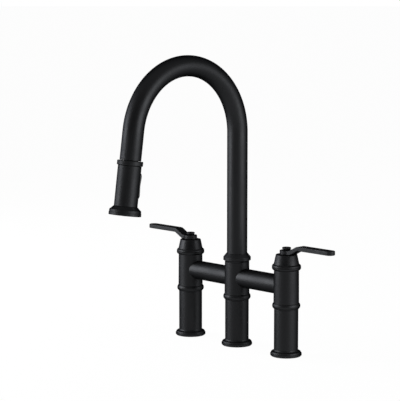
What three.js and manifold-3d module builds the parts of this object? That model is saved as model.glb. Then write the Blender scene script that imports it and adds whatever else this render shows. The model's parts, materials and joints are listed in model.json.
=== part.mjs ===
// Bridge kitchen faucet with two lever handles and a pull-out spray head, in millimetres.
// +Z is up. The origin is on the centre column's axis, on the deck. +X points to the cold
// column, and the spout reaches to -Y.

import * as THREE from 'three';
import { mergeVertices } from 'three/addons/utils/BufferGeometryUtils.js';
import Module from 'manifold-3d';

const wasm = await Module();
wasm.setup();

// ---------------------------------------------------------------- driving dimensions

// Facets round a turned piece
const ROUND = 20;
const ROUND_INNER = 12;
const ROUND_SMALL = 8;
const ROUND_TINY = 5;
const ARC_STEPS = 3;

// Clearances
const FIT_GAP = 0.3;      // round a piece that sits in another
const TURN_GAP = 0.6;     // round a piece that turns in another, past the facets of both
const SEAT_GAP = 0.15;    // under a piece that rests on another
const SEAL_GAP = 0.12;    // round a rubber ring in its groove
const CUT_OVER = 1;       // how far a cutting tool runs past the face that it cuts

// Columns
const COLUMN_SPACING = 101.6;
const GASKET_T = 1;
const GASKET_INSET = 1.2;         // from the rim of the foot
const FOOT_R = 22.6;
const FOOT_RIM_TOP = 4.2;
const FOOT_GROOVE = 0.35;
const FLARE_INSET = 0.7;          // from the rim of the foot
const FLARE_TOP = 9.8;
const LEG_R = 17.4;
const LEG_WALL = 2.6;
const LEG_TOP = 68;
const LEG_SHOULDER = 1.4;         // on which the upper body rests
const LEG_SPIGOT_L = 7;

// Upper bodies of the columns
const BODY_STEP = 0.55;           // how far they stand out from the legs
const BODY_LIP = 1.2;
const BODY_FLOOR_T = 8.6;
const BODY_WALL = 3.55;
const BODY_H = 60.65;             // to the middle of the upper bead
const BODY_NECK_L = 3.4;
const LOWER_BEAD_OUT = 2.2;
const LOWER_BEAD_HALF = 3.8;
const UPPER_BEAD_OUT = 2.85;
const UPPER_BEAD_FLAT = 1;
const UPPER_BEAD_HALF = 4.3;
const BEAD_SWEEP = 80;            // degrees of a bead's round on each side of its middle
const BEAD_GROOVE = 0.3;
const CHAMBER_H = 22.4;           // from the valve's seat

// Bridge
const BRIDGE_RISE = 33.35;        // of its axis over the foot of the upper bodies
const BRIDGE_R = 14.1;
const BRIDGE_SPIGOT_R = 9;
const BRIDGE_SPIGOT_WALL = 3;
const BRIDGE_SPIGOT_SHORT = 0.8;  // from the end of the spigot to the chamber

// Water supply inside the side columns
const SOCKET_R = 12.6;
const SOCKET_WALL = 3.3;
const SOCKET_DEPTH = 18;
const SOCKET_FLOOR = 3;
const NIPPLE_R = 7;
const NIPPLE_WALL = 2.2;
const VALVE_SEAT_T = 6;

// Ceramic cartridge
const CARTRIDGE_R = 9.6;
const CARTRIDGE_WALL = 2.4;
const CARTRIDGE_THREAD_R = 11.8;
const CARTRIDGE_NECK_WALL = 2.7;
const CARTRIDGE_NECK_ROOM = 1.6;  // under the bonnet's roof
const CARTRIDGE_HEX_R = 13.2;
const CARTRIDGE_HEX_T = 4;
const SEAL_T = 1.8;
const DISC_T = 2.6;
const DISC_PORT_R = 5;
const DISC_HUB_R = 1.6;
const DISC_PORT_ANGLE = Math.PI * 0.4;
const WINDOW_W = 6;
const WINDOW_H = 8;
const WINDOW_RISE = 1;            // over the foot of the stem
const STEM_R = 4;
const STEM_COLLAR_T = 3.6;
const STEM_RECESS = 0.65;         // of its end under the top of the lever's hub
const STEM_HOLE_DEPTH = 10;

// Bonnet
const BONNET_STEP = 0.35;         // how far its foot stands out from the body
const BONNET_TOP_R = 15.3;
const BONNET_H = 18;              // from the middle of the bead
const BONNET_EDGE = 0.7;
const BONNET_SKIRT = 2.8;
const BONNET_WALL = 2.4;
const BONNET_ROOF = 3.2;
const BUSH_T = 2;
const BUSH_L = 3;

// Lever
const LEVER_T = 6.1;
const LEVER_HUB_R = 9.9;
const LEVER_WIDTH = 14.8;
const LEVER_TIP = 91;
const LEVER_RISE_START = 11.2;
const LEVER_RISE_END = 26.8;
const LEVER_RISE = 8.3;           // of the grip's middle over the hub's
const LEVER_BEND_R = 7;
const BOLT_HEAD_R = 6.3;
const BOLT_HEAD_T = 3.4;
const BOLT_HEAD_TAPER = 1.3;
const BOLT_EDGE = 0.7;
const BOLT_NECK_R = 5;
const BOLT_NECK_T = 0.6;
const BOLT_SHANK_R = 2;
const BOLT_SHANK_L = 9;

// Centre column
const HOSE_R = 5.8;
const HOSE_ROOM = 0.5;            // between the hose and its guide
const HOSE_GUIDE_WALL = 0.7;
const HOSE_GUIDE_TAIL = 3.45;     // under the floor of the tee body
const HOSE_GUIDE_HEAD = 1.4;      // over the top of the tee body
const MIXED_TUBE_WALL = 0.8;
const MIXED_TUBE_ROOM = 0.7;      // from the tube to the hose guide and to the leg
const TEE_H = 56.45;
const TEE_NECK_STEP = 1.35;       // between the body's side and its neck
const TEE_NECK_WALL = 3.6;
const TEE_NECK_L = 4.6;
const COLLAR_OUT = 2.25;          // how far the collar stands out from the body
const COLLAR_FLARE_H = 2.55;
const COLLAR_BAND_H = 4.4;
const COLLAR_CONE_H = 5.1;
const COLLAR_LIP = 0.7;

// Spout
const TUBE_R = 15;
const TUBE_WALL = 1.5;
const ARC_R = 99.7;
const ARC_Z = 314.6;
const OUTLET_TILT = THREE.MathUtils.degToRad(8);
const OUTLET_L = 41.4;
const SPOUT_ARC_STEPS = 16;
const WASHER_T = 1;
const STEM_SWIVEL_TAIL = 4.6;     // in the chamber
const STEM_SOCKET_L = 17;
const CLIP_T = 1.1;
const RING_THICKNESS = 1.5;
const SPOUT_RING_RISES = [4.1, 9.6];  // over the chamber

// Spray head, measured down the outlet's axis from the end of the arc
const DOCK_GUIDE_TOP = 17;
const DOCK_GUIDE_WALL = 1.7;
const HEAD_NECK_TOP = 22;
const DOCK_RING_OUT = 1.6;        // how far the ring stands out from the head
const DOCK_RING_L = 6.8;
const DOCK_RING_EDGE = 1;
const DOCK_RING_SWEEP = 50;       // degrees of the round of its edges
const HEAD_R = 16.4;
const HEAD_WALL = 2.2;
const HEAD_L = 56.15;
const CORE_ROOM = 1.6;            // between the core and the shell
const CORE_FLAT_DEPTH = 2;
const BELL_R = 22.6;
const BELL_WALL = 3.2;
const BELL_L = 12.65;
const BELL_RIM_L = 4.4;
const BELL_STEP = 0.4;            // between the rim and the band over it
const BELL_CONE_L = 4.05;
const BELL_CONE_INSET = 1.7;      // from the rim to the end of the cone
const BELL_ROUND_L = 2;
const FACE_T = 3;
const FACE_RECESS = 1.2;
const NOZZLE_R = 0.95;
const NOZZLE_H = 0.7;
const NOZZLE_ROWS = [{ radius: 11.2, count: 8 }, { radius: 15.4, count: 12 }];
const AERATOR_R = 7.2;
const AERATOR_L = 5;
const AERATOR_HOLE_R = 1.3;
const AERATOR_ROWS = [{ radius: 0, count: 1 }, { radius: 4.2, count: 6 }];

// Hose end fitting
const FERRULE_TOP = 4;
const FERRULE_WALL = 1.5;
const FERRULE_L = 12;
const FERRULE_NUT_WALL = 2.5;
const FERRULE_NUT_L = 7;
const FERRULE_SPIGOT_L = 8;
const FERRULE_SPIGOT_R = 4.6;
const FERRULE_BORE_R = 2.6;
const CHECK_VALVE_L = 8;

// Rocker button on the back of the spray head
const ROCKER_DOWN = 26.85;        // from the top of the head to the rocker's middle
const ROCKER_HALF_L = 18.9;
const ROCKER_HALF_W = 6.3;
const ROCKER_SLOT_GAP = 0.7;
const ROCKER_UNDER = 2.1;         // between the rocker and the core's flat
const ROCKER_UPPER_LOBE = 3;      // how far it stands out from the head
const ROCKER_LOWER_LOBE = 2.8;
const ROCKER_SADDLE = 2.1;
const ROCKER_END = 1.3;
const ROCKER_CROWN_R = 30;
const ROCKER_PIVOT_RISE = 0.5;    // over the rocker's underside
const ROCKER_PIN_R = 0.75;
const ROCKER_PIN_HALF = 7.7;
const ROCKER_HUB_R = 2;
const ROCKER_HUB_HALF = 5;
const ROCKER_PEG_HALF = 0.8;
const ROCKER_PEG_HALF_W = 1.2;
const SPOOL_DEPTH = 2.7;          // of its axis under the core's flat
const SPOOL_R = 2.2;
const SPOOL_NECK_R = 1;
const SPOOL_HALF_L = 8;
const SPOOL_TRAVEL_ROOM = 1.2;

// ---------------------------------------------------------------- places worked out from them

// Columns, from the deck up
const footBottom = GASKET_T + SEAT_GAP;
const gasketR = FOOT_R - GASKET_INSET;
const flareR = FOOT_R - FLARE_INSET;
const legBoreR = LEG_R - LEG_WALL;
const legSpigotR = LEG_R - LEG_SHOULDER;
const bodyR = LEG_R + BODY_STEP;
const bodyBottom = LEG_TOP + SEAT_GAP;
const lowerBeadZ = bodyBottom + BODY_LIP + LOWER_BEAD_HALF;
const lowerBeadR = bodyR + LOWER_BEAD_OUT;
const spigotPocketTop = bodyBottom + LEG_SPIGOT_L + FIT_GAP;
const spigotPocketR = legSpigotR + FIT_GAP;
const floorTop = spigotPocketTop + BODY_FLOOR_T;
const chamberR = bodyR - BODY_WALL;
const valveSeatZ = floorTop + VALVE_SEAT_T;
const chamberTop = valveSeatZ + CHAMBER_H;
const upperBeadZ = bodyBottom + BODY_H;
const upperBeadR = bodyR + UPPER_BEAD_OUT;
const bodyTop = upperBeadZ - BEAD_GROOVE / 2;
const bridgeZ = bodyBottom + BRIDGE_RISE;
const bridgeBoreR = BRIDGE_SPIGOT_R - BRIDGE_SPIGOT_WALL;
const bridgeSpigotEnd = chamberR + BRIDGE_SPIGOT_SHORT;
const portR = BRIDGE_SPIGOT_R + FIT_GAP;

// Valve, bonnet and lever
const nippleBoreR = NIPPLE_R - NIPPLE_WALL;
const cartridgeBoreR = CARTRIDGE_R - CARTRIDGE_WALL;
const cartridgeNeckR = STEM_R + FIT_GAP + CARTRIDGE_NECK_WALL;
const threadBoreR = CARTRIDGE_THREAD_R + FIT_GAP;
const sealBottom = valveSeatZ + SEAT_GAP;
const fixedDiscBottom = sealBottom + SEAL_T + SEAT_GAP;
const turningDiscBottom = fixedDiscBottom + DISC_T + SEAT_GAP;
const stemBottom = turningDiscBottom + DISC_T + SEAT_GAP;
const windowBottom = stemBottom + WINDOW_RISE;
const stemCollarTop = chamberTop - SEAT_GAP;
const discR = cartridgeBoreR - FIT_GAP;
const bonnetBottom = upperBeadZ + BEAD_GROOVE / 2;
const bonnetConeBase = upperBeadZ + UPPER_BEAD_HALF - BEAD_GROOVE;
const bonnetLowR = bodyR + BONNET_STEP;
const bonnetTop = upperBeadZ + BONNET_H;
const bonnetRoof = bonnetTop - BONNET_ROOF;
const bodyNeckR = bonnetLowR - BONNET_SKIRT - FIT_GAP;
const leverBottom = bonnetTop + SEAT_GAP;
const leverHubTop = leverBottom + LEVER_T;
const leverHubZ = leverBottom + LEVER_T / 2;
const leverGripZ = leverHubZ + LEVER_RISE;
const stemTop = leverHubTop - STEM_RECESS;

// Centre column and spout
const teeTop = bodyBottom + TEE_H;
const teeNeckR = bodyR - TEE_NECK_STEP;
const swivelSocketR = teeNeckR - TEE_NECK_WALL;
const swivelStemR = swivelSocketR - TURN_GAP;
const hoseGuideR = HOSE_R + HOSE_ROOM + HOSE_GUIDE_WALL;
const mixedTubeR = (legBoreR - hoseGuideR) / 2 - MIXED_TUBE_ROOM;
const mixedTubeY = -(legBoreR + hoseGuideR) / 2;
const swivelBoreR = hoseGuideR + TURN_GAP;
const clipR = chamberR - TURN_GAP;
const clipBottom = chamberTop - SEAT_GAP - CLIP_T;
const tubeBoreR = TUBE_R - TUBE_WALL;
const washerBottom = teeTop + TEE_NECK_L + SEAT_GAP;
const riserBottom = washerBottom + WASHER_T + SEAT_GAP;
const outletEnd = new THREE.Vector3(
  0,
  -ARC_R - ARC_R * Math.cos(OUTLET_TILT),
  ARC_Z + ARC_R * Math.sin(OUTLET_TILT),
);

// Spray head
const dockGuideR = tubeBoreR - FIT_GAP;
const dockRingTop = OUTLET_L + FIT_GAP;
const dockRingBottom = dockRingTop + DOCK_RING_L;
const dockRingR = HEAD_R + DOCK_RING_OUT;
const headNeckR = dockGuideR - DOCK_GUIDE_WALL - TURN_GAP;
const sprayTop = dockRingBottom + SEAT_GAP;
const headBottom = sprayTop + HEAD_L;
const headBoreR = HEAD_R - HEAD_WALL;
const coreR = headBoreR - CORE_ROOM;
const coreFlatY = coreR - CORE_FLAT_DEPTH;
const coreBoreR = FERRULE_SPIGOT_R + FIT_GAP;
const bellTop = headBottom + SEAT_GAP;
const bellConeEnd = bellTop + BELL_CONE_L;
const bellConeR = BELL_R - BELL_CONE_INSET;
const bellBottom = bellTop + BELL_L;
const bellRimTop = bellBottom - BELL_RIM_L;
const bellBandR = BELL_R - BELL_STEP;
const bellBoreR = BELL_R - BELL_WALL;
const faceBottom = bellBottom - FACE_RECESS;
const faceTop = faceBottom - FACE_T;
const aeratorTop = faceBottom - AERATOR_L;
const coreBottom = aeratorTop - SEAT_GAP;
const ferruleBoreR = HOSE_R + FIT_GAP;
const ferruleR = ferruleBoreR + FERRULE_WALL;
const ferruleNutR = ferruleBoreR + FERRULE_NUT_WALL;
const ferruleNutTop = FERRULE_TOP + FERRULE_L;
const ferruleNutBottom = ferruleNutTop + FERRULE_NUT_L;
const ferruleEnd = ferruleNutBottom + FERRULE_SPIGOT_L;
const checkValveTop = ferruleEnd + FIT_GAP;
const rockerCentre = sprayTop + ROCKER_DOWN;
const rockerBaseY = coreFlatY + ROCKER_UNDER;
const rockerTopY = HEAD_R + ROCKER_UPPER_LOBE;
const rockerLowY = HEAD_R + ROCKER_LOWER_LOBE;
const rockerSaddleY = HEAD_R + ROCKER_SADDLE;
const rockerEndY = HEAD_R + ROCKER_END;
const rockerPivotY = rockerBaseY + ROCKER_PIVOT_RISE;
const spoolY = coreFlatY - SPOOL_DEPTH;
const pegTip = spoolY + SPOOL_NECK_R + FIT_GAP;

// ---------------------------------------------------------------- materials

function finish(color, roughness, metalness) {
  return new THREE.MeshStandardMaterial({ color, roughness, metalness });
}

const materials = {
  black: () => finish(0x2b2d30, 0.42, 0.6),
  brass: () => finish(0xb8934a, 0.35, 1),
  steel: () => finish(0xb9bcc0, 0.3, 1),
  rubber: () => finish(0x1b1b1c, 0.9, 0),
  ceramic: () => finish(0xeeeeea, 0.25, 0),
  nylon: () => finish(0xd8d6cf, 0.6, 0),
  darkPlastic: () => finish(0x202123, 0.55, 0),
  hose: () => finish(0x1d1e20, 0.7, 0),
};

// ---------------------------------------------------------------- solids

function solid(geometry) {
  const bare = geometry.index ? geometry.toNonIndexed() : geometry.clone();
  bare.deleteAttribute('normal');
  bare.deleteAttribute('uv');
  const merged = mergeVertices(bare, 1e-4);
  const corners = merged.index.array;
  const kept = [];
  for (let i = 0; i < corners.length; i += 3) {
    const [a, b, c] = corners.slice(i, i + 3);
    if (a !== b && b !== c && c !== a) kept.push(a, b, c);
  }
  const mesh = new wasm.Mesh({
    numProp: 3,
    vertProperties: new Float32Array(merged.attributes.position.array),
    triVerts: new Uint32Array(kept),
  });
  return new wasm.Manifold(mesh);
}

function piece(name, body, material) {
  const mesh = body.getMesh();
  const geometry = new THREE.BufferGeometry();
  geometry.setAttribute('position', new THREE.BufferAttribute(mesh.vertProperties, 3));
  geometry.setIndex(new THREE.BufferAttribute(mesh.triVerts, 1));
  geometry.computeVertexNormals();
  const result = new THREE.Mesh(geometry, materials[material]());
  result.name = name;
  return result;
}

// Turned solid about Z. The profile is a closed loop of [radius, height] points, with the
// outside going up and the inside coming down.
function turned(profile, facets = ROUND) {
  const points = profile.map(([r, z]) => new THREE.Vector2(r, z));
  points.push(points[0].clone());
  const geometry = new THREE.LatheGeometry(points, facets);
  geometry.rotateX(Math.PI / 2);
  return solid(geometry);
}

function ring(outerR, innerR, bottom, top, facets = ROUND_INNER) {
  return turned([[outerR, bottom], [outerR, top], [innerR, top], [innerR, bottom]], facets);
}

function rod(radius, bottom, top, facets = ROUND_INNER) {
  const geometry = new THREE.CylinderGeometry(radius, radius, top - bottom, facets);
  geometry.rotateX(Math.PI / 2);
  geometry.translate(0, 0, (bottom + top) / 2);
  return solid(geometry);
}

function rodAlongX(radius, start, end, facets = ROUND_INNER) {
  return rod(radius, start, end, facets).rotate([0, 90, 0]);
}

function block(sizeX, sizeY, sizeZ, x, y, z) {
  const geometry = new THREE.BoxGeometry(sizeX, sizeY, sizeZ);
  geometry.translate(x, y, z);
  return solid(geometry);
}

// Rubber ring about Z
function sealRing(middleR, thickness, height) {
  const geometry = new THREE.TorusGeometry(middleR, thickness / 2, ROUND_TINY - 1, ROUND_INNER);
  geometry.translate(0, 0, height);
  return solid(geometry);
}

// Points on an arc of a profile, from angle a0 to a1 in degrees
function arc(r, z, radiusR, radiusZ, a0, a1, steps = ARC_STEPS) {
  const points = [];
  for (let i = 0; i <= steps; i += 1) {
    const angle = THREE.MathUtils.degToRad(a0 + ((a1 - a0) * i) / steps);
    points.push([r + radiusR * Math.cos(angle), z + radiusZ * Math.sin(angle)]);
  }
  return points;
}

// ---------------------------------------------------------------- columns

function footGasket() {
  return ring(gasketR, legBoreR + FIT_GAP, 0, GASKET_T);
}

// Leg with its flared foot and the spigot that enters the body above
function leg() {
  const flare = LEG_R + (flareR - LEG_R) / 2;
  const shoulder = FOOT_RIM_TOP + FOOT_GROOVE;
  const mid = (shoulder + FLARE_TOP) / 2;
  return turned([
    [FOOT_R, footBottom],
    [FOOT_R, FOOT_RIM_TOP],
    [flareR, shoulder],
    ...arc(flare, shoulder, flareR - flare, mid - shoulder, 30, 90, 2),
    ...arc(flare, FLARE_TOP, LEG_R - flare, mid - FLARE_TOP, 60, 0, 2),
    [LEG_R, LEG_TOP],
    [legSpigotR, LEG_TOP],
    [legSpigotR, LEG_TOP + LEG_SPIGOT_L],
    [legBoreR, LEG_TOP + LEG_SPIGOT_L],
    [legBoreR, footBottom],
  ]);
}

// Lip, bead and start of the plain barrel, shared by the three upper bodies
function lowerBead() {
  return [
    [bodyR, bodyBottom],
    [bodyR, bodyBottom + BODY_LIP],
    ...arc(bodyR, lowerBeadZ, lowerBeadR - bodyR, LOWER_BEAD_HALF, -BEAD_SWEEP, BEAD_SWEEP),
  ];
}

function valveBody(side) {
  const shell = turned([
    ...lowerBead(),
    [bodyR, upperBeadZ - UPPER_BEAD_HALF],
    ...arc(bodyR, upperBeadZ - UPPER_BEAD_FLAT, upperBeadR - bodyR,
      UPPER_BEAD_FLAT - UPPER_BEAD_HALF, BEAD_SWEEP, 0, 2),
    [upperBeadR, bodyTop],
    [bodyNeckR, bodyTop],
    [bodyNeckR, bodyTop + BODY_NECK_L],
    [0, bodyTop + BODY_NECK_L],
    [0, spigotPocketTop],
    [spigotPocketR, spigotPocketTop],
    [spigotPocketR, bodyBottom],
  ]);
  const waterway = turned([
    [0, spigotPocketTop - CUT_OVER],
    [NIPPLE_R + FIT_GAP, spigotPocketTop - CUT_OVER],
    [NIPPLE_R + FIT_GAP, floorTop + FIT_GAP],
    [nippleBoreR, floorTop + FIT_GAP],
    [nippleBoreR, valveSeatZ],
    [chamberR, valveSeatZ],
    [chamberR, chamberTop],
    [threadBoreR, chamberTop],
    [threadBoreR, bodyTop + BODY_NECK_L + CUT_OVER],
    [0, bodyTop + BODY_NECK_L + CUT_OVER],
  ], ROUND_INNER);
  const port = rodAlongX(portR, chamberR - CUT_OVER * 2, bodyR + CUT_OVER)
    .translate([0, 0, bridgeZ]);
  const placed = side < 0 ? port : port.mirror([1, 0, 0]);
  return shell.subtract(waterway).subtract(placed);
}

function inletNipple() {
  const socketTop = footBottom + SOCKET_DEPTH;
  return turned([
    [SOCKET_R, footBottom],
    [SOCKET_R, socketTop + SOCKET_FLOOR],
    [NIPPLE_R, socketTop + SOCKET_FLOOR],
    [NIPPLE_R, floorTop],
    [nippleBoreR, floorTop],
    [nippleBoreR, socketTop],
    [SOCKET_R - SOCKET_WALL, socketTop],
    [SOCKET_R - SOCKET_WALL, footBottom],
  ], ROUND_INNER);
}

// ---------------------------------------------------------------- valve cartridge

function cartridgeBody() {
  const hexBottom = bodyTop + BODY_NECK_L + SEAT_GAP;
  const hexTop = hexBottom + CARTRIDGE_HEX_T;
  const neckTop = bonnetRoof - CARTRIDGE_NECK_ROOM;
  const barrel = turned([
    [CARTRIDGE_R, sealBottom],
    [CARTRIDGE_R, chamberTop + FIT_GAP],
    [CARTRIDGE_THREAD_R, chamberTop + FIT_GAP],
    [CARTRIDGE_THREAD_R, hexBottom + CARTRIDGE_HEX_T / 2],
    [cartridgeNeckR, hexBottom + CARTRIDGE_HEX_T / 2],
    [cartridgeNeckR, neckTop],
    [STEM_R + FIT_GAP, neckTop],
    [STEM_R + FIT_GAP, chamberTop],
    [cartridgeBoreR, chamberTop],
    [cartridgeBoreR, sealBottom],
  ], ROUND_INNER);
  const hex = ring(CARTRIDGE_HEX_R, cartridgeNeckR - CUT_OVER, hexBottom, hexTop, 6);
  const windowZ = windowBottom + WINDOW_H / 2;
  const windowAcross = block(2 * CARTRIDGE_R + CUT_OVER, WINDOW_W, WINDOW_H, 0, 0, windowZ);
  return barrel.add(hex).subtract(windowAcross);
}

function cartridgeSeal() {
  return ring(discR, DISC_PORT_R, sealBottom, sealBottom + SEAL_T);
}

// Ceramic disc with two facing ports, each a slice of a ring
function ceramicDisc(bottom) {
  const outline = new THREE.Shape().absarc(0, 0, discR, 0, 2 * Math.PI);
  for (const start of [-DISC_PORT_ANGLE / 2, Math.PI - DISC_PORT_ANGLE / 2]) {
    const port = new THREE.Path();
    port.absarc(0, 0, DISC_PORT_R, start, start + DISC_PORT_ANGLE, false);
    port.absarc(0, 0, DISC_HUB_R, start + DISC_PORT_ANGLE, start, true);
    outline.holes.push(port);
  }
  const geometry = new THREE.ExtrudeGeometry(outline, {
    depth: DISC_T, bevelEnabled: false, curveSegments: ROUND_SMALL / 2,
  });
  geometry.translate(0, 0, bottom);
  return solid(geometry);
}

function valveStem() {
  return turned([
    [STEM_R, stemBottom],
    [STEM_R, stemCollarTop - STEM_COLLAR_T],
    [discR, stemCollarTop - STEM_COLLAR_T],
    [discR, stemCollarTop],
    [STEM_R, stemCollarTop],
    [STEM_R, stemTop],
    [BOLT_SHANK_R + FIT_GAP, stemTop],
    [BOLT_SHANK_R + FIT_GAP, stemTop - STEM_HOLE_DEPTH],
    [0, stemTop - STEM_HOLE_DEPTH],
    [0, stemBottom],
  ], ROUND_SMALL);
}

// Conical cap with the upper half of the bead
function bonnet() {
  return turned([
    [upperBeadR, bonnetBottom],
    ...arc(bonnetLowR, upperBeadZ + UPPER_BEAD_FLAT - BEAD_GROOVE, upperBeadR - bonnetLowR,
      UPPER_BEAD_HALF - UPPER_BEAD_FLAT, 0, BEAD_SWEEP, 2),
    [bonnetLowR, bonnetConeBase],
    [BONNET_TOP_R, bonnetTop - BONNET_EDGE],
    ...arc(BONNET_TOP_R - BONNET_EDGE, bonnetTop - BONNET_EDGE, BONNET_EDGE, BONNET_EDGE, 45, 90, 1),
    [STEM_R + FIT_GAP + BUSH_T, bonnetTop],
    [STEM_R + FIT_GAP + BUSH_T, bonnetRoof],
    [BONNET_TOP_R - BONNET_WALL, bonnetRoof],
    [bodyNeckR + FIT_GAP, bonnetConeBase],
    [bodyNeckR + FIT_GAP, bonnetBottom],
  ]);
}

function bonnetBush() {
  const top = bonnetTop - FIT_GAP;
  const outerR = STEM_R + BUSH_T;
  return ring(outerR, STEM_R + TURN_GAP, top - BUSH_L, top, ROUND_SMALL);
}

// ---------------------------------------------------------------- lever

// Middle line of the lever's strap in side view, with an arc at each of its two bends
function leverMiddleLine() {
  const slope = Math.atan2(leverGripZ - leverHubZ, LEVER_RISE_END - LEVER_RISE_START);
  const tangent = LEVER_BEND_R * Math.tan(slope / 2);
  const points = [[-LEVER_HUB_R, leverHubZ, 0]];
  for (let i = 0; i <= ARC_STEPS; i += 1) {
    const angle = (slope * i) / ARC_STEPS;
    points.push([
      LEVER_RISE_START - tangent + LEVER_BEND_R * Math.sin(angle),
      leverHubZ + LEVER_BEND_R * (1 - Math.cos(angle)),
      angle,
    ]);
  }
  for (let i = 0; i <= ARC_STEPS; i += 1) {
    const angle = slope * (1 - i / ARC_STEPS);
    points.push([
      LEVER_RISE_END + tangent - LEVER_BEND_R * Math.sin(angle),
      leverGripZ - LEVER_BEND_R * (1 - Math.cos(angle)),
      angle,
    ]);
  }
  points.push([LEVER_TIP, leverGripZ, 0]);
  return points;
}

function leverSideOutline() {
  const above = [];
  const below = [];
  for (const [x, z, angle] of leverMiddleLine()) {
    const dx = (-Math.sin(angle) * LEVER_T) / 2;
    const dz = (Math.cos(angle) * LEVER_T) / 2;
    above.push(new THREE.Vector2(x + dx, z + dz));
    below.push(new THREE.Vector2(x - dx, z - dz));
  }
  return new THREE.Shape([...below, ...above.reverse()]);
}

// Outline from above: a round hub, a straight strap and a round tip
function leverPlanOutline() {
  const half = LEVER_WIDTH / 2;
  const joint = Math.asin(half / LEVER_HUB_R);
  const outline = new THREE.Shape();
  outline.absarc(0, 0, LEVER_HUB_R, joint, 2 * Math.PI - joint, false);
  outline.absarc(LEVER_TIP - half, 0, half, -Math.PI / 2, Math.PI / 2, false);
  return outline;
}

function lever() {
  const strap = new THREE.ExtrudeGeometry(leverSideOutline(), {
    depth: 2 * LEVER_HUB_R, bevelEnabled: false,
  });
  strap.rotateX(Math.PI / 2);
  strap.translate(0, LEVER_HUB_R, 0);
  const plan = new THREE.ExtrudeGeometry(leverPlanOutline(), {
    depth: leverGripZ, bevelEnabled: false, curveSegments: ROUND_INNER / 2,
  });
  plan.translate(0, 0, leverGripZ / 2);
  const hole = rod(STEM_R + FIT_GAP, leverBottom - CUT_OVER, leverHubTop + CUT_OVER, ROUND_SMALL);
  return solid(strap).intersect(solid(plan)).subtract(hole);
}

function leverBolt() {
  const neckBottom = leverHubTop + SEAT_GAP;
  const headBottom = neckBottom + BOLT_NECK_T;
  const headTop = headBottom + BOLT_HEAD_T;
  return turned([
    [0, stemTop - BOLT_SHANK_L],
    [BOLT_SHANK_R, stemTop - BOLT_SHANK_L],
    [BOLT_SHANK_R, neckBottom],
    [BOLT_NECK_R, neckBottom],
    [BOLT_NECK_R, headBottom],
    [BOLT_HEAD_R, headBottom + BOLT_HEAD_TAPER],
    [BOLT_HEAD_R, headTop - BOLT_EDGE],
    [BOLT_HEAD_R - BOLT_EDGE, headTop],
    [0, headTop],
  ], ROUND_INNER);
}

function sideColumn(name, side) {
  const column = new THREE.Group();
  column.position.x = side * COLUMN_SPACING;
  column.add(
    piece(`foot_gasket_${name}`, footGasket(), 'rubber'),
    piece(`leg_${name}`, leg(), 'black'),
    piece(`inlet_nipple_${name}`, inletNipple(), 'brass'),
    piece(`valve_body_${name}`, valveBody(side), 'black'),
    piece(`cartridge_body_${name}`, cartridgeBody(), 'brass'),
    piece(`cartridge_seal_${name}`, cartridgeSeal(), 'rubber'),
    piece(`fixed_disc_${name}`, ceramicDisc(fixedDiscBottom), 'ceramic'),
    piece(`bonnet_${name}`, bonnet(), 'black'),
    piece(`bonnet_bush_${name}`, bonnetBush(), 'nylon'),
  );
  const handle = new THREE.Group();
  handle.rotation.z = side < 0 ? Math.PI : 0;
  handle.add(
    piece(`turning_disc_${name}`, ceramicDisc(turningDiscBottom).rotate([0, 0, 90]), 'ceramic'),
    piece(`valve_stem_${name}`, valveStem(), 'brass'),
    piece(`lever_${name}`, lever(), 'black'),
    piece(`lever_bolt_${name}`, leverBolt(), 'black'),
  );
  column.add(handle);
  return column;
}

// ---------------------------------------------------------------- bridge

// Tube between two columns: its ends are hollowed to fit round them, and a spigot at each
// end enters the port
function bridgeArm() {
  const columnCut = rod(bodyR + FIT_GAP, bridgeZ - 2 * BRIDGE_R, bridgeZ + 2 * BRIDGE_R, ROUND);
  const tube = rodAlongX(BRIDGE_R, 0, COLUMN_SPACING, ROUND)
    .translate([0, 0, bridgeZ])
    .subtract(columnCut)
    .subtract(columnCut.translate([COLUMN_SPACING, 0, 0]));
  const ends = [bridgeSpigotEnd, COLUMN_SPACING - bridgeSpigotEnd];
  const spigot = rodAlongX(BRIDGE_SPIGOT_R, ends[0], ends[1]).translate([0, 0, bridgeZ]);
  const bore = rodAlongX(bridgeBoreR, 0, COLUMN_SPACING).translate([0, 0, bridgeZ]);
  let arm = tube.add(spigot);
  for (const x of bridgeRingPlaces()) {
    arm = arm.subtract(ringGroove(BRIDGE_SPIGOT_R).rotate([0, 90, 0]).translate([x, 0, bridgeZ]));
  }
  return arm.subtract(bore);
}

// Middle of the rubber ring at each end of an arm, in the thickness of the column's wall
function bridgeRingPlaces() {
  const inWall = (chamberR + bodyR) / 2 + FIT_GAP;
  return [inWall, COLUMN_SPACING - inWall];
}

function ringGroove(shaftR) {
  const half = RING_THICKNESS / 2 + SEAL_GAP;
  return ring(shaftR + CUT_OVER, shaftR - RING_THICKNESS - SEAL_GAP, -half, half);
}

function ringOn(shaftR) {
  return sealRing(shaftR - RING_THICKNESS / 2, RING_THICKNESS, 0);
}

function bridge() {
  const group = new THREE.Group();
  for (const [name, side] of [['hot', -1], ['cold', 1]]) {
    const arm = side < 0 ? bridgeArm().mirror([1, 0, 0]) : bridgeArm();
    group.add(piece(`bridge_arm_${name}`, arm, 'black'));
    const ends = ['inner', 'outer'];
    bridgeRingPlaces().forEach((x, i) => {
      const seal = ringOn(BRIDGE_SPIGOT_R).rotate([0, 90, 0]).translate([side * x, 0, bridgeZ]);
      group.add(piece(`bridge_ring_${name}_${ends[i]}`, seal, 'rubber'));
    });
  }
  return group;
}

// ---------------------------------------------------------------- centre column

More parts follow.
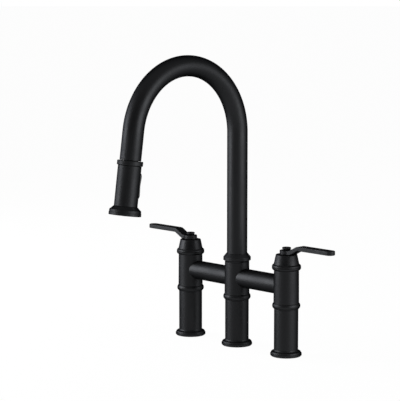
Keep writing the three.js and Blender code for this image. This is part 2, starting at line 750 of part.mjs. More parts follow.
function teeBody() {
  const neckTop = teeTop + TEE_NECK_L;
  const shell = turned([
    ...lowerBead(),
    [bodyR, teeTop],
    [teeNeckR, teeTop],
    [teeNeckR, neckTop],
    [0, neckTop],
    [0, spigotPocketTop],
    [spigotPocketR, spigotPocketTop],
    [spigotPocketR, bodyBottom],
  ]);
  const waterway = turned([
    [0, spigotPocketTop - CUT_OVER],
    [hoseGuideR + FIT_GAP, spigotPocketTop - CUT_OVER],
    [hoseGuideR + FIT_GAP, floorTop],
    [chamberR, floorTop],
    [chamberR, chamberTop],
    [swivelSocketR, chamberTop],
    [swivelSocketR, neckTop + CUT_OVER],
    [0, neckTop + CUT_OVER],
  ], ROUND_INNER);
  const port = rodAlongX(portR, -bodyR - CUT_OVER, bodyR + CUT_OVER).translate([0, 0, bridgeZ]);
  const drain = rod(mixedTubeR + FIT_GAP, spigotPocketTop - CUT_OVER, floorTop + CUT_OVER,
    ROUND_SMALL)
    .translate([0, mixedTubeY, 0]);
  return shell.subtract(waterway).subtract(port).subtract(drain);
}

function mixedTube() {
  return ring(mixedTubeR, mixedTubeR - MIXED_TUBE_WALL, footBottom, floorTop - CUT_OVER, ROUND_SMALL)
    .translate([0, mixedTubeY, 0]);
}

function hoseGuide() {
  return ring(hoseGuideR, hoseGuideR - HOSE_GUIDE_WALL, spigotPocketTop - HOSE_GUIDE_TAIL,
    teeTop + HOSE_GUIDE_HEAD);
}

// Ring nut with a band and a conical shoulder round the foot of the riser
function spoutCollar() {
  const bottom = teeTop + SEAT_GAP;
  const bandLow = bottom + COLLAR_FLARE_H;
  const bandHigh = bandLow + COLLAR_BAND_H;
  const top = bandHigh + COLLAR_CONE_H;
  const outerR = bodyR + COLLAR_OUT;
  return turned([
    [bodyR, bottom],
    ...arc(outerR, bottom, -COLLAR_OUT, COLLAR_FLARE_H, 30, 90, 2),
    [outerR, bandHigh],
    [TUBE_R + FIT_GAP + COLLAR_LIP, top],
    [TUBE_R + FIT_GAP, top],
    [TUBE_R + FIT_GAP, riserBottom],
    [teeNeckR + FIT_GAP, riserBottom],
    [teeNeckR + FIT_GAP, bottom],
  ]);
}

function swivelWasher() {
  return ring(teeNeckR - FIT_GAP, swivelSocketR, washerBottom, washerBottom + WASHER_T);
}

// Brass stem in the foot of the riser, which turns in the tee body
function swivelStem() {
  const shoulder = riserBottom + FIT_GAP;
  const bottom = chamberTop - STEM_SWIVEL_TAIL;
  let stem = turned([
    [swivelStemR, bottom],
    [swivelStemR, shoulder],
    [tubeBoreR - FIT_GAP, shoulder],
    [tubeBoreR - FIT_GAP, shoulder + STEM_SOCKET_L],
    [swivelBoreR, shoulder + STEM_SOCKET_L],
    [swivelBoreR, bottom],
  ], ROUND_INNER);
  for (const rise of SPOUT_RING_RISES) {
    stem = stem.subtract(ringGroove(swivelStemR).translate([0, 0, chamberTop + rise]));
  }
  const clipGroove = ring(swivelStemR + CUT_OVER, swivelStemR - CUT_OVER,
    clipBottom - SEAL_GAP, clipBottom + CLIP_T + SEAL_GAP);
  return stem.subtract(clipGroove);
}

// Open spring clip that keeps the stem from lifting out
function retainingClip() {
  const clip = ring(clipR, swivelStemR - CUT_OVER + FIT_GAP, clipBottom, clipBottom + CLIP_T);
  const gap = block(clipR, 2 * CLIP_T, 2 * CLIP_T, 0, clipR, clipBottom + CLIP_T / 2);
  return clip.subtract(gap.translate([0, -CLIP_T, 0]));
}

function centreColumn() {
  const group = new THREE.Group();
  group.add(
    piece('foot_gasket_centre', footGasket(), 'rubber'),
    piece('leg_centre', leg(), 'black'),
    piece('tee_body', teeBody(), 'black'),
    piece('mixed_water_tube', mixedTube(), 'brass'),
    piece('hose_guide', hoseGuide(), 'steel'),
    piece('spout_collar', spoutCollar(), 'black'),
    piece('swivel_washer', swivelWasher(), 'nylon'),
  );
  return group;
}

// ---------------------------------------------------------------- spout

// A path in the YZ plane that has points only where it needs them: at the ends of its
// straight runs and evenly round its bend
class SpoutPath extends THREE.Curve {
  constructor(bottom, end, steps) {
    super();
    this.points = [new THREE.Vector3(0, 0, bottom)];
    this.angles = [0];
    const sweep = Math.PI - OUTLET_TILT;
    for (let i = 0; i <= steps; i += 1) {
      const angle = (sweep * i) / steps;
      this.points.push(new THREE.Vector3(
        0,
        ARC_R * Math.cos(angle) - ARC_R,
        ARC_Z + ARC_R * Math.sin(angle),
      ));
      this.angles.push(angle);
    }
    this.points.push(alongOutlet(end));
    this.angles.push(sweep);
  }

  getSpacedPoints() {
    return this.points;
  }

  getPoint(t, target = new THREE.Vector3()) {
    const place = t * (this.points.length - 1);
    const index = Math.min(Math.floor(place), this.points.length - 2);
    return target.lerpVectors(this.points[index], this.points[index + 1], place - index);
  }

  computeFrenetFrames() {
    const tangents = this.angles.map((a) => new THREE.Vector3(0, -Math.sin(a), Math.cos(a)));
    const binormals = tangents.map(() => new THREE.Vector3(1, 0, 0));
    const normals = tangents.map((t, i) => new THREE.Vector3().crossVectors(binormals[i], t));
    return { tangents, normals, binormals };
  }
}

function alongOutlet(distance) {
  const direction = new THREE.Vector3(0, -Math.sin(OUTLET_TILT), -Math.cos(OUTLET_TILT));
  return outletEnd.clone().addScaledVector(direction, distance);
}

function circle(radius, facets) {
  const points = [];
  for (let i = 0; i < facets; i += 1) {
    const angle = (2 * Math.PI * i) / facets;
    points.push(new THREE.Vector2(radius * Math.cos(angle), radius * Math.sin(angle)));
  }
  return points;
}

function tubeAlong(path, outerR, facets, boreR = 0, boreFacets = 0) {
  const section = new THREE.Shape(circle(outerR, facets));
  if (boreR > 0) section.holes.push(new THREE.Path(circle(boreR, boreFacets)));
  const geometry = new THREE.ExtrudeGeometry(section, {
    steps: path.points.length - 1,
    extrudePath: path,
    bevelEnabled: false,
  });
  return solid(geometry);
}

function gooseneck() {
  const path = new SpoutPath(riserBottom, OUTLET_L, SPOUT_ARC_STEPS);
  return tubeAlong(path, TUBE_R, ROUND, tubeBoreR, ROUND_INNER);
}

function sprayHose() {
  const end = FERRULE_TOP + FERRULE_L - FIT_GAP;
  return tubeAlong(new SpoutPath(footBottom, end, SPOUT_ARC_STEPS / 2), HOSE_R, ROUND_SMALL);
}

function spout() {
  const group = new THREE.Group();
  group.add(
    piece('gooseneck', gooseneck(), 'black'),
    piece('swivel_stem', swivelStem(), 'brass'),
    piece('swivel_clip', retainingClip(), 'steel'),
    piece('spray_hose', sprayHose(), 'hose'),
  );
  ['lower', 'upper'].forEach((name, i) => {
    const seal = ringOn(swivelStemR).translate([0, 0, chamberTop + SPOUT_RING_RISES[i]]);
    group.add(piece(`spout_ring_${name}`, seal, 'rubber'));
  });
  return group;
}

// ---------------------------------------------------------------- spray head

// The head's own frame has its origin at the end of the spout's arc, with -Z down the
// outlet, so a distance down the outlet is minus a height
function down(profile, facets = ROUND) {
  return turned(profile.map(([r, distance]) => [r, -distance]).reverse(), facets);
}

function downRing(outerR, innerR, top, bottom, facets = ROUND_INNER) {
  return ring(outerR, innerR, -bottom, -top, facets);
}

function downRod(radius, top, bottom, facets = ROUND_SMALL) {
  return rod(radius, -bottom, -top, facets);
}

function dockingGuide() {
  return downRing(dockGuideR, dockGuideR - DOCK_GUIDE_WALL, DOCK_GUIDE_TOP, OUTLET_L);
}

function dockingRing() {
  const e = DOCK_RING_EDGE;
  return down([
    [headNeckR + FIT_GAP, dockRingTop],
    [dockRingR - e, dockRingTop],
    ...arc(dockRingR - e, dockRingTop + e, e, e, -DOCK_RING_SWEEP, 0, 1),
    ...arc(dockRingR - e, dockRingBottom - e, e, e, 0, DOCK_RING_SWEEP, 1),
    [HEAD_R + BEAD_GROOVE, dockRingBottom],
    [headNeckR + FIT_GAP, dockRingBottom],
  ]);
}

function rockerSlot() {
  const halfL = ROCKER_HALF_L + ROCKER_SLOT_GAP;
  const halfW = ROCKER_HALF_W + ROCKER_SLOT_GAP / 2;
  return stadiumAlongY(halfL, halfW, coreFlatY, HEAD_R + CUT_OVER);
}

// Upright prism from y0 to y1 whose outline is a slot with round ends, at the rocker's place
function stadiumAlongY(halfL, halfW, y0, y1) {
  const outline = new THREE.Shape();
  outline.absarc(0, halfL - halfW, halfW, 0, Math.PI, false);
  outline.absarc(0, halfW - halfL, halfW, Math.PI, 2 * Math.PI, false);
  const geometry = new THREE.ExtrudeGeometry(outline, {
    depth: y1 - y0, bevelEnabled: false, curveSegments: 6,
  });
  geometry.rotateX(Math.PI / 2);
  geometry.translate(0, y1, -rockerCentre);
  return solid(geometry);
}

function pivotRod(radius, halfL) {
  return rodAlongX(radius, -halfL, halfL, ROUND_SMALL).translate([0, rockerPivotY, -rockerCentre]);
}

function sprayBody() {
  return downRing(HEAD_R, headBoreR, sprayTop, headBottom, ROUND)
    .subtract(rockerSlot())
    .subtract(pivotRod(ROCKER_PIN_R + FIT_GAP, ROCKER_PIN_HALF + FIT_GAP));
}

// Inner body that carries the water, with the flat that the rocker moves over and the
// channel of the diverter spool
function sprayCore() {
  const body = down([
    [coreBoreR, HEAD_NECK_TOP],
    [headNeckR, HEAD_NECK_TOP],
    [headNeckR, sprayTop],
    [coreR, sprayTop],
    [coreR, coreBottom],
    [coreBoreR, coreBottom],
  ], ROUND_INNER);
  const nutRoom = downRod(ferruleNutR + TURN_GAP, HEAD_NECK_TOP - CUT_OVER, ferruleNutBottom + FIT_GAP,
    ROUND_INNER);
  const flatDepth = coreR - coreFlatY + CUT_OVER;
  const flat = block(2 * coreR, flatDepth, 2 * (ROCKER_HALF_L + ROCKER_SLOT_GAP), 0,
    coreFlatY + flatDepth / 2, -rockerCentre);
  const spoolHalf = SPOOL_HALF_L + SPOOL_TRAVEL_ROOM;
  const channel = downRod(SPOOL_R + FIT_GAP, rockerCentre - spoolHalf, rockerCentre + spoolHalf)
    .translate([0, spoolY, 0]);
  const pegRoom = block(2 * (ROCKER_PEG_HALF_W + FIT_GAP), coreFlatY - spoolY + CUT_OVER,
    2 * (ROCKER_PEG_HALF + SPOOL_TRAVEL_ROOM), 0, (coreFlatY + spoolY + CUT_OVER) / 2,
    -rockerCentre);
  return body.subtract(nutRoom).subtract(flat).subtract(channel).subtract(pegRoom);
}

// Flared bell round the nozzle face
function sprayBell() {
  const wall = HEAD_R - coreR - FIT_GAP;
  return down([
    [coreR + FIT_GAP, bellTop],
    [HEAD_R + BEAD_GROOVE, bellTop],
    [bellConeR, bellConeEnd],
    ...arc(bellConeR, bellConeEnd + BELL_ROUND_L, bellBandR - bellConeR, -BELL_ROUND_L, 50, 0, 2),
    [bellBandR, bellRimTop],
    [BELL_R - BEAD_GROOVE, bellRimTop + BEAD_GROOVE],
    [BELL_R, bellBottom - BEAD_GROOVE],
    [BELL_R - BEAD_GROOVE, bellBottom],
    [bellBoreR, bellBottom],
    [bellBoreR, faceTop - FIT_GAP],
    [bellBoreR - wall, faceTop - FIT_GAP - wall / 2],
    [coreR + FIT_GAP, bellTop + wall],
  ]);
}

// Upright rods in rings about the head's axis
function rodsInRings(rows, radius, top, bottom) {
  const rods = [];
  for (const row of rows) {
    for (let i = 0; i < row.count; i += 1) {
      const turn = (360 * i) / row.count;
      rods.push(downRod(radius, top, bottom, ROUND_TINY).translate([row.radius, 0, 0]).rotate([0, 0, turn]));
    }
  }
  return rods;
}

function nozzleFace() {
  const face = downRing(bellBoreR - FIT_GAP, AERATOR_R + FIT_GAP, faceTop, faceBottom, ROUND);
  const nozzles = rodsInRings(NOZZLE_ROWS, NOZZLE_R, faceBottom - NOZZLE_H, faceBottom + NOZZLE_H);
  return nozzles.reduce((sum, nozzle) => sum.add(nozzle), face);
}

// Round insert with rings of holes right through it
function aerator() {
  const insert = downRod(AERATOR_R, aeratorTop, faceBottom, ROUND_INNER);
  const holes = rodsInRings(AERATOR_ROWS, AERATOR_HOLE_R, aeratorTop - CUT_OVER, faceBottom + CUT_OVER);
  return holes.reduce((rest, hole) => rest.subtract(hole), insert);
}

// Crimped sleeve, swivel nut and spigot at the end of the hose
function hoseFitting() {
  return down([
    [FERRULE_BORE_R, ferruleNutTop],
    [ferruleBoreR, ferruleNutTop],
    [ferruleBoreR, FERRULE_TOP],
    [ferruleR, FERRULE_TOP],
    [ferruleR, ferruleNutTop],
    [ferruleNutR, ferruleNutTop],
    [ferruleNutR, ferruleNutBottom],
    [FERRULE_SPIGOT_R, ferruleNutBottom],
    [FERRULE_SPIGOT_R, ferruleEnd],
    [FERRULE_BORE_R, ferruleEnd],
  ], ROUND_INNER);
}

function checkValve() {
  return downRing(coreBoreR - FIT_GAP, FERRULE_BORE_R, checkValveTop, checkValveTop + CHECK_VALVE_L,
    ROUND_SMALL);
}

// Side view of the rocker: a higher upper lobe, a saddle over the pivot and a lower lobe,
// above a flat underside with the peg that moves the spool
function rockerSideOutline() {
  const outline = new THREE.Shape();
  outline.moveTo(ROCKER_HALF_L, rockerBaseY);
  outline.lineTo(ROCKER_HALF_L, rockerEndY);
  outline.quadraticCurveTo(ROCKER_HALF_L * 0.95, rockerTopY, ROCKER_HALF_L * 0.7, rockerTopY);
  outline.bezierCurveTo(ROCKER_HALF_L * 0.35, rockerTopY, ROCKER_HALF_L * 0.3, rockerSaddleY,
    0, rockerSaddleY);
  outline.bezierCurveTo(-ROCKER_HALF_L * 0.3, rockerSaddleY, -ROCKER_HALF_L * 0.35, rockerLowY,
    -ROCKER_HALF_L * 0.7, rockerLowY);
  outline.quadraticCurveTo(-ROCKER_HALF_L * 0.95, rockerLowY, -ROCKER_HALF_L, rockerEndY);
  outline.lineTo(-ROCKER_HALF_L, rockerBaseY);
  return outline;
}

function rocker() {
  const side = new THREE.ExtrudeGeometry(rockerSideOutline(), {
    depth: 2 * HEAD_R, bevelEnabled: false, curveSegments: 5,
  });
  // the outline's x is the height and its y the depth, and it runs across the head
  side.translate(0, 0, -HEAD_R);
  side.rotateY(-Math.PI / 2);
  side.translate(0, 0, -rockerCentre);
  const plan = stadiumAlongY(ROCKER_HALF_L, ROCKER_HALF_W, rockerBaseY - CUT_OVER,
    rockerTopY + CUT_OVER);
  const crown = downRod(ROCKER_CROWN_R, rockerCentre - 2 * ROCKER_HALF_L,
    rockerCentre + 2 * ROCKER_HALF_L, 2 * ROUND).translate([0, rockerTopY - ROCKER_CROWN_R, 0]);
  const hub = pivotRod(ROCKER_HUB_R, ROCKER_HUB_HALF);
  const peg = block(2 * ROCKER_PEG_HALF_W, rockerBaseY - pegTip, 2 * ROCKER_PEG_HALF,
    0, (rockerBaseY + pegTip) / 2, -rockerCentre);
  return solid(side).intersect(plan).intersect(crown).add(hub).add(peg)
    .subtract(pivotRod(ROCKER_PIN_R + FIT_GAP, HEAD_R));
}

function diverterSpool() {
  const neckHalf = ROCKER_PEG_HALF + FIT_GAP;
  return down([
    [0, rockerCentre - SPOOL_HALF_L],
    [SPOOL_R, rockerCentre - SPOOL_HALF_L],
    [SPOOL_R, rockerCentre - neckHalf],
    [SPOOL_NECK_R, rockerCentre - neckHalf],
    [SPOOL_NECK_R, rockerCentre + neckHalf],
    [SPOOL_R, rockerCentre + neckHalf],
    [SPOOL_R, rockerCentre + SPOOL_HALF_L],
    [0, rockerCentre + SPOOL_HALF_L],
  ], ROUND_SMALL).translate([0, spoolY, 0]);
}

function sprayHead() {
  const group = new THREE.Group();
  group.position.copy(outletEnd);
  group.rotation.x = -OUTLET_TILT;
  group.add(
    piece('docking_guide', dockingGuide(), 'darkPlastic'),
    piece('hose_fitting', hoseFitting(), 'brass'),
    piece('docking_ring', dockingRing(), 'black'),
    piece('spray_body', sprayBody(), 'black'),
    piece('spray_core', sprayCore(), 'darkPlastic'),
    piece('check_valve', checkValve(), 'nylon'),
    piece('spray_bell', sprayBell(), 'black'),
    piece('nozzle_face', nozzleFace(), 'darkPlastic'),
    piece('aerator', aerator(), 'nylon'),
    piece('rocker', rocker(), 'darkPlastic'),
    piece('rocker_pin', pivotRod(ROCKER_PIN_R, ROCKER_PIN_HALF), 'steel'),
    piece('diverter_spool', diverterSpool(), 'nylon'),
  );
  return group;
}

// ---------------------------------------------------------------- the whole faucet

const faucet = new THREE.Group();
faucet.add(
  sideColumn('hot', -1),
  sideColumn('cold', 1),
  bridge(),
  centreColumn(),
  spout(),
  sprayHead(),
);

export default faucet;
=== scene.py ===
"""Bridge kitchen faucet in satin black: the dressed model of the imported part.

Metres in the part's own frame: +Z up, the origin on the deck at the centre column's axis, +X to
the cold column, and the spout to -Y. The sizes below are in millimetres, as in the part.
"""

import json
import math

import bmesh
import bpy
from mathutils import Matrix, Vector


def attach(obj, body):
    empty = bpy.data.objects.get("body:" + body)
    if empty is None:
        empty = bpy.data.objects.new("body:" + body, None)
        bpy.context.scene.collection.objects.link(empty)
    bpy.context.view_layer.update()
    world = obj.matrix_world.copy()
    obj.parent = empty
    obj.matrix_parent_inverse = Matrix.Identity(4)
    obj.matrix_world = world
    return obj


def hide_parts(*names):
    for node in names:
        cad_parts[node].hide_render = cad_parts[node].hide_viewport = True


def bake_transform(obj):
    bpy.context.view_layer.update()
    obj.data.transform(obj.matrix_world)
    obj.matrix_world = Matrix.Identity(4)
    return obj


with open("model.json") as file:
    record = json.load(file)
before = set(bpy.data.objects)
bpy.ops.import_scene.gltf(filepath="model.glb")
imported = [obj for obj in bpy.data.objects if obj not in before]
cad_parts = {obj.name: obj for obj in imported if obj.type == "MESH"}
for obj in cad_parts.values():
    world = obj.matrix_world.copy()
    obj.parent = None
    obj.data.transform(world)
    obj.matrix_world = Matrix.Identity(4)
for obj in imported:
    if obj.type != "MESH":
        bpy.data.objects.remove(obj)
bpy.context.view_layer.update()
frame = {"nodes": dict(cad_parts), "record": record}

# ---------------------------------------------------------------- sizes, in millimetres

MM = 0.001
WELD = 1e-6                # metres, points closer than this are one
ROUND = 96                 # segments round a turned piece
SMALL_ROUND = 64           # segments round a small turned piece
FINE = 9.0                 # degrees between the points of a rounded edge
HIDDEN_EDGE = 0.1          # radius of an edge that hardly shows
STRAIGHT = 0.02            # radians, a corner that turns less isn't rounded
EDGE_SHARE = 0.48          # most of a side that the rounding of one corner takes
ON_AXIS = 1e-6             # radius of a profile point that lies on the axis
SEAT_GAP, FIT_GAP = 0.15, 0.3

COLUMN_SPACING = 101.6
GASKET_R, GASKET_T = 21.4, 1.0
FOOT_R, FOOT_RIM_TOP, FOOT_GROOVE = 22.6, 4.2, 0.35
FLARE_SHOULDER_R, FLARE_TOP = 21.9, 9.8
LEG_R, LEG_BORE_R, LEG_TOP, LEG_SPIGOT_STEP, LEG_SPIGOT_L = 17.4, 14.8, 68.0, 1.4, 7.0
BODY_R, BODY_LIP, BODY_NECK_R, BODY_NECK_L, BODY_NECK_BORE_R = 17.95, 1.2, 15.2, 3.4, 12.1
BEAD_GROOVE, BEAD_ANGLE = 0.3, 80     # BEAD_ANGLE in degrees, where a bead's round ends
LOWER_BEAD_Z, LOWER_BEAD_R, LOWER_BEAD_HALF = 73.15, 20.15, 3.8
UPPER_BEAD_Z, UPPER_BEAD_R, UPPER_BEAD_FLAT, UPPER_BEAD_HALF = 128.8, 20.8, 1.0, 4.3
CHAMBER_R, CHAMBER_TOP, VALVE_SEAT_Z, SEAT_HOLE_R = 14.4, 112.45, 90.05, 4.8
FLOOR_TOP, FLOOR_HOLE_R, SPIGOT_POCKET_R, SPIGOT_POCKET_TOP = 84.05, 7.3, 16.3, 75.45
BONNET_LOW_R, BONNET_TOP_R, BONNET_TOP, BONNET_EDGE = 18.3, 15.3, 146.8, 0.7
BONNET_ROOF, BONNET_WALL, STEM_HOLE_R = 3.2, 2.4, 6.3
TEE_TOP, TEE_NECK_R, TEE_NECK_L, TEE_NECK_BORE_R = 124.6, 16.6, 4.6, 13.0
COLLAR_R, COLLAR_BAND_LOW, COLLAR_BAND_HIGH = 20.2, 127.3, 131.7
COLLAR_TOP, COLLAR_TOP_R, COLLAR_LIP_GAP = 136.8, 16.0, 0.2

BRIDGE_Z, BRIDGE_R, BRIDGE_BORE_R, BRIDGE_SEAT_GAP = 101.5, 14.1, 12.4, 0.12
BRIDGE_EDGE = ((0.45, 0.0), (0.12, 0.14), (0.0, 0.5), (0.0, 3.0))   # (drop, distance in)

LEVER_T, LEVER_HUB_R, LEVER_WIDTH, LEVER_TIP, LEVER_EDGE = 6.1, 9.9, 14.8, 91.0, 0.85
LEVER_RISE_START, LEVER_RISE_END, LEVER_GRIP_Z, LEVER_BEND_R = 11.2, 26.8, 158.3, 7.0
LEVER_HUB_STEPS, LEVER_STRAP_STEPS, LEVER_TIP_STEPS = 28, 60, 16
LEVER_EDGE_STEPS, LEVER_COLUMNS = 4, 6
BOLT_HEAD_R, BOLT_HEAD_T, BOLT_HEAD_TAPER, BOLT_NECK_R, BOLT_NECK_T = 6.3, 3.4, 1.3, 5.0, 0.6

TUBE_R, TUBE_WALL, ARC_R, ARC_Z, OUTLET_TILT, OUTLET_L = 15.0, 1.5, 99.7, 314.6, 8.0, 41.4
RISER_BOTTOM, RISER_EDGE = 130.5, 0.3
OUTLET_OUTER_EDGE = ((0.4, 0.0), (0.1, 0.15), (0.0, 0.45))          # (distance in, drop)
OUTLET_INNER_EDGE = ((0.0, 0.4), (0.1, 0.1), (0.4, 0.0))
SPOUT_STEPS, BORE_SKIP = 180, 3
DOCK_GUIDE_TOP, DOCK_GUIDE_R, DOCK_GUIDE_WALL = 17.0, 13.2, 1.7

# The spray head's heights are distances down its own axis from the end of the spout's bend.
DOCK_RING_TOP, DOCK_RING_BOTTOM, DOCK_RING_R, DOCK_RING_EDGE = 41.7, 48.5, 18.0, 1.2
HEAD_TOP, HEAD_BOTTOM, HEAD_R, HEAD_WALL, HEAD_NECK_R = 48.65, 104.8, 16.4, 2.2, 10.9
BELL_TOP, BELL_BOTTOM, BELL_R, BELL_BAND_R, BELL_BORE_R = 104.95, 117.6, 22.6, 22.2, 19.4
BELL_CONE_R, BELL_CONE_END, BELL_CONE_EASE, BELL_ROUND_L = 20.9, 109.0, 0.2, 2.0
BELL_RIM_TOP, BELL_RIM_STEP, BELL_THROAT_L = 113.2, 0.35, 3.0
CORE_R, CORE_FLAT_Y = 12.6, 10.6
FACE_TOP, FACE_BOTTOM, FACE_SUNK = 113.4, 116.4, 0.3
FACE_PANEL_OUTSIDE, FACE_PANEL_INSIDE = (17.6, 17.3), (9.0, 8.7)    # radii of each edge
NOZZLE_R, NOZZLE_L, STREAM_R, STREAM_L = 0.95, 0.7, 0.62, 0.4
NOZZLE_ROWS = ((11.2, 8, 0.0), (15.4, 12, 0.0))       # radius, count, turn in shares of a step
STREAM_ROWS = ((0.0, 1, 0.0), (2.1, 6, 0.0), (4.2, 12, 0.5), (6.0, 18, 0.0))
AERATOR_R, AERATOR_TOP, AERATOR_RIM, AERATOR_RIM_FOOT, AERATOR_SUNK = 7.2, 111.4, 0.5, 0.6, 0.45
NUB_SEGMENTS = 16
ROCKER_CENTRE, ROCKER_HALF_L, ROCKER_HALF_W = 75.5, 18.9, 6.3
ROCKER_TOP_Y, ROCKER_LOW_Y, ROCKER_SADDLE_Y = 19.4, 19.2, 18.5
ROCKER_END_Y, ROCKER_BASE_Y = 17.7, 12.7
ROCKER_CROWN_R, ROCKER_SLOT_GAP, ROCKER_EDGE = 30.0, 0.7, 0.8
ROCKER_LOBE, ROCKER_FALL, ROCKER_FALL_L = 0.68, 0.86, 0.14          # shares of its half length
ROCKER_COLUMNS, ROCKER_ROWS, STADIUM_STEPS = 24, 60, 12
CUT_EDGE, CUT_ANGLE, CUTTER_PROUD = 0.25, 50, 2.0                   # CUT_ANGLE in degrees

HOSE_R, HOSE_SEGMENTS, HOSE_STRANDS, HOSE_END = 5.8, 48, 24.0, 0.3
HOSE_STEP, STRETCH_STEP = 4.0, 0.16
HOSE_SPLIT, STRETCH_ABOVE, STRETCH_BELOW, PULL = 40.0, 6.0, 13.0, 200.0   # from the bend's end
FERRULE_TOP, FERRULE_R, FERRULE_L, FERRULE_BORE_R = 4.0, 7.6, 12.0, 2.6
FERRULE_GROOVE = ((7.5, 0.0), (8.2, 0.5), (11.8, 0.5), (12.5, 0.0))  # (distance down, depth)
FERRULE_NUT_R, FERRULE_NUT_L, FERRULE_SPIGOT_R, FERRULE_END = 8.6, 7.0, 4.6, 31.0
FERRULE_SEGMENTS = 48

SIDES = (("hot", -1), ("cold", 1))
tilt = math.radians(OUTLET_TILT)
outlet_end = Vector((0, -ARC_R - ARC_R * math.cos(tilt), ARC_Z + ARC_R * math.sin(tilt))) * MM
outlet_axis = Vector((0, -math.sin(tilt), -math.cos(tilt)))
head_place = Matrix.Translation(outlet_end) @ Matrix.Rotation(-tilt, 4, "X")
spout_straight = ARC_Z - RISER_BOTTOM
spout_bend = ARC_R * (math.pi - tilt)
spout_length = spout_straight + spout_bend + OUTLET_L

# ---------------------------------------------------------------- procedural materials


def assign(node, values):
    """Sets a node's sockets and options by name, with _ for each space in a socket's name."""
    for key, value in values.items():
        socket = key.replace("_", " ")
        if socket in node.inputs:
            node.inputs[socket].default_value = value
        else:
            setattr(node, key, value)


class Nodes:
    """Short calls for a node tree."""

    def __init__(self, tree):
        self.tree = tree

    def add(self, kind, **values):
        node = self.tree.nodes.new("ShaderNode" + kind)
        assign(node, values)
        return node

    def link(self, source, target):
        self.tree.links.new(source, target)

    def combine(self, operation, first, second):
        """Result of an operation on a socket, and on another socket or a number."""
        node = self.add("Math", operation=operation)
        self.link(first, node.inputs[0])
        if isinstance(second, float):
            node.inputs[1].default_value = second
        else:
            self.link(second, node.inputs[1])
        return node.outputs[0]

    def spread(self, source, low, high, source_low=0.35, source_high=0.65):
        """A source moved from its own range, by default that of noise, to low and high."""
        node = self.add("MapRange", From_Min=source_low, From_Max=source_high,
                        To_Min=low, To_Max=high)
        self.link(source, node.inputs["Value"])
        return node.outputs["Result"]


class Material(Nodes):
    """A material's node tree, with its shader and its place in metres."""

    def __init__(self, name):
        self.material = bpy.data.materials.new(name)
        self.material.use_nodes = True
        super().__init__(self.material.node_tree)
        self.shader = self.tree.nodes["Principled BSDF"]
        self.place = self.add("TexCoord").outputs["Object"]

    def noise(self, scale, detail=3.0, rough=0.55, place=None):
        node = self.add("TexNoise", Scale=scale, Detail=detail, Roughness=rough)
        self.link(place or self.place, node.inputs["Vector"])
        return node.outputs["Fac"]

    def blend_colors(self, factor, first, second):
        node = self.add("Mix", data_type="RGBA", A=(*first, 1), B=(*second, 1))
        self.link(factor, node.inputs["Factor"])
        return node.outputs["Result"]

    def bump(self, height, strength, distance, normal=None):
        node = self.add("Bump", Strength=strength, Distance=distance)
        self.link(height, node.inputs["Height"])
        if normal is not None:
            self.link(normal, node.inputs["Normal"])
        return node.outputs["Normal"]

    def finished(self, color, roughness, normal, **values):
        """Links the shader's colour, roughness and normal, and sets its other sockets."""
        self.link(color, self.shader.inputs["Base Color"])
        self.link(roughness, self.shader.inputs["Roughness"])
        self.link(normal, self.shader.inputs["Normal"])
        assign(self.shader, values)
        return self.material


def coated_black(name, roughness):
    """Satin black coating on brass: a fine orange peel, a little cloudiness, paler worn edges."""
    n = Material(name)
    cloud = n.noise(scale=38.0, detail=4.0)
    edges = n.spread(n.add("NewGeometry").outputs["Pointiness"], 0.0, 1.0, 0.52, 0.60)
    worn = n.combine("MULTIPLY", edges, n.spread(n.noise(scale=220.0, detail=5.0), 0.2, 1.0))
    peel = n.bump(n.noise(scale=1500.0, detail=2.0, rough=0.5), strength=0.10, distance=0.00025)
    return n.finished(
        n.blend_colors(worn, (0.0210, 0.0216, 0.0229), (0.038, 0.039, 0.041)),
        n.spread(cloud, roughness - 0.035, roughness + 0.045),
        n.bump(n.noise(scale=90.0, detail=2.0), strength=0.04, distance=0.0008, normal=peel),
        Metallic=1.0, Specular_Tint=(0.06, 0.06, 0.065, 1.0))


def moulding(name, base, other, roughness, grain=900.0, depth=0.12):
    """Moulded plastic or rubber with a fine spark-eroded grain and slightly uneven gloss."""
    n = Material(name)
    return n.finished(
        n.blend_colors(n.spread(n.noise(scale=60.0), 0, 1), base, other),
        n.spread(n.noise(scale=140.0), roughness - 0.05, roughness + 0.06),
        n.bump(n.noise(scale=grain, detail=2.0), strength=depth, distance=0.0002),
        Metallic=0.0, IOR=1.5, Specular_IOR_Level=0.4)


def machined_metal(name, base, dull, roughness):
    """Turned metal: fine tool lines round the axis, and duller patches."""
    n = Material(name)
    stretch = n.add("Mapping", Scale=(1.0, 1.0, 60.0))
    n.link(n.place, stretch.inputs["Vector"])
    lines = n.noise(scale=90.0, rough=0.6, place=stretch.outputs["Vector"])
    return n.finished(
        n.blend_colors(n.spread(n.noise(scale=70.0, detail=4.0), 0, 1), base, dull),
        n.spread(lines, roughness - 0.06, roughness + 0.12),
        n.bump(lines, strength=0.08, distance=0.00012),
        Metallic=1.0)


def braided_hose(name):
    """Black nylon braid: strands that cross on both diagonals, from the hose's own UV map."""
    n = Material(name)
    uv = n.add("TexCoord").outputs["UV"]
    strands = []
    for lean in (math.radians(45), -math.radians(45)):
        turned = n.add("Mapping", Rotation=(0, 0, lean))
        n.link(uv, turned.inputs["Vector"])
        wave = n.add("TexWave", wave_type="BANDS", bands_direction="X",
                     Scale=math.sqrt(0.5) / 2, Distortion=0.0)
        n.link(turned.outputs["Vector"], wave.inputs["Vector"])
        strands.append(wave.outputs["Fac"])
    weave = n.combine("MAXIMUM", *strands)
    return n.finished(
        n.blend_colors(weave, (0.006, 0.006, 0.0065), (0.026, 0.027, 0.029)),
        n.spread(n.noise(scale=400.0), 0.5, 0.68),
        n.bump(weave, strength=0.6, distance=0.0004),
        Metallic=0.0, IOR=1.5, Specular_IOR_Level=0.4)


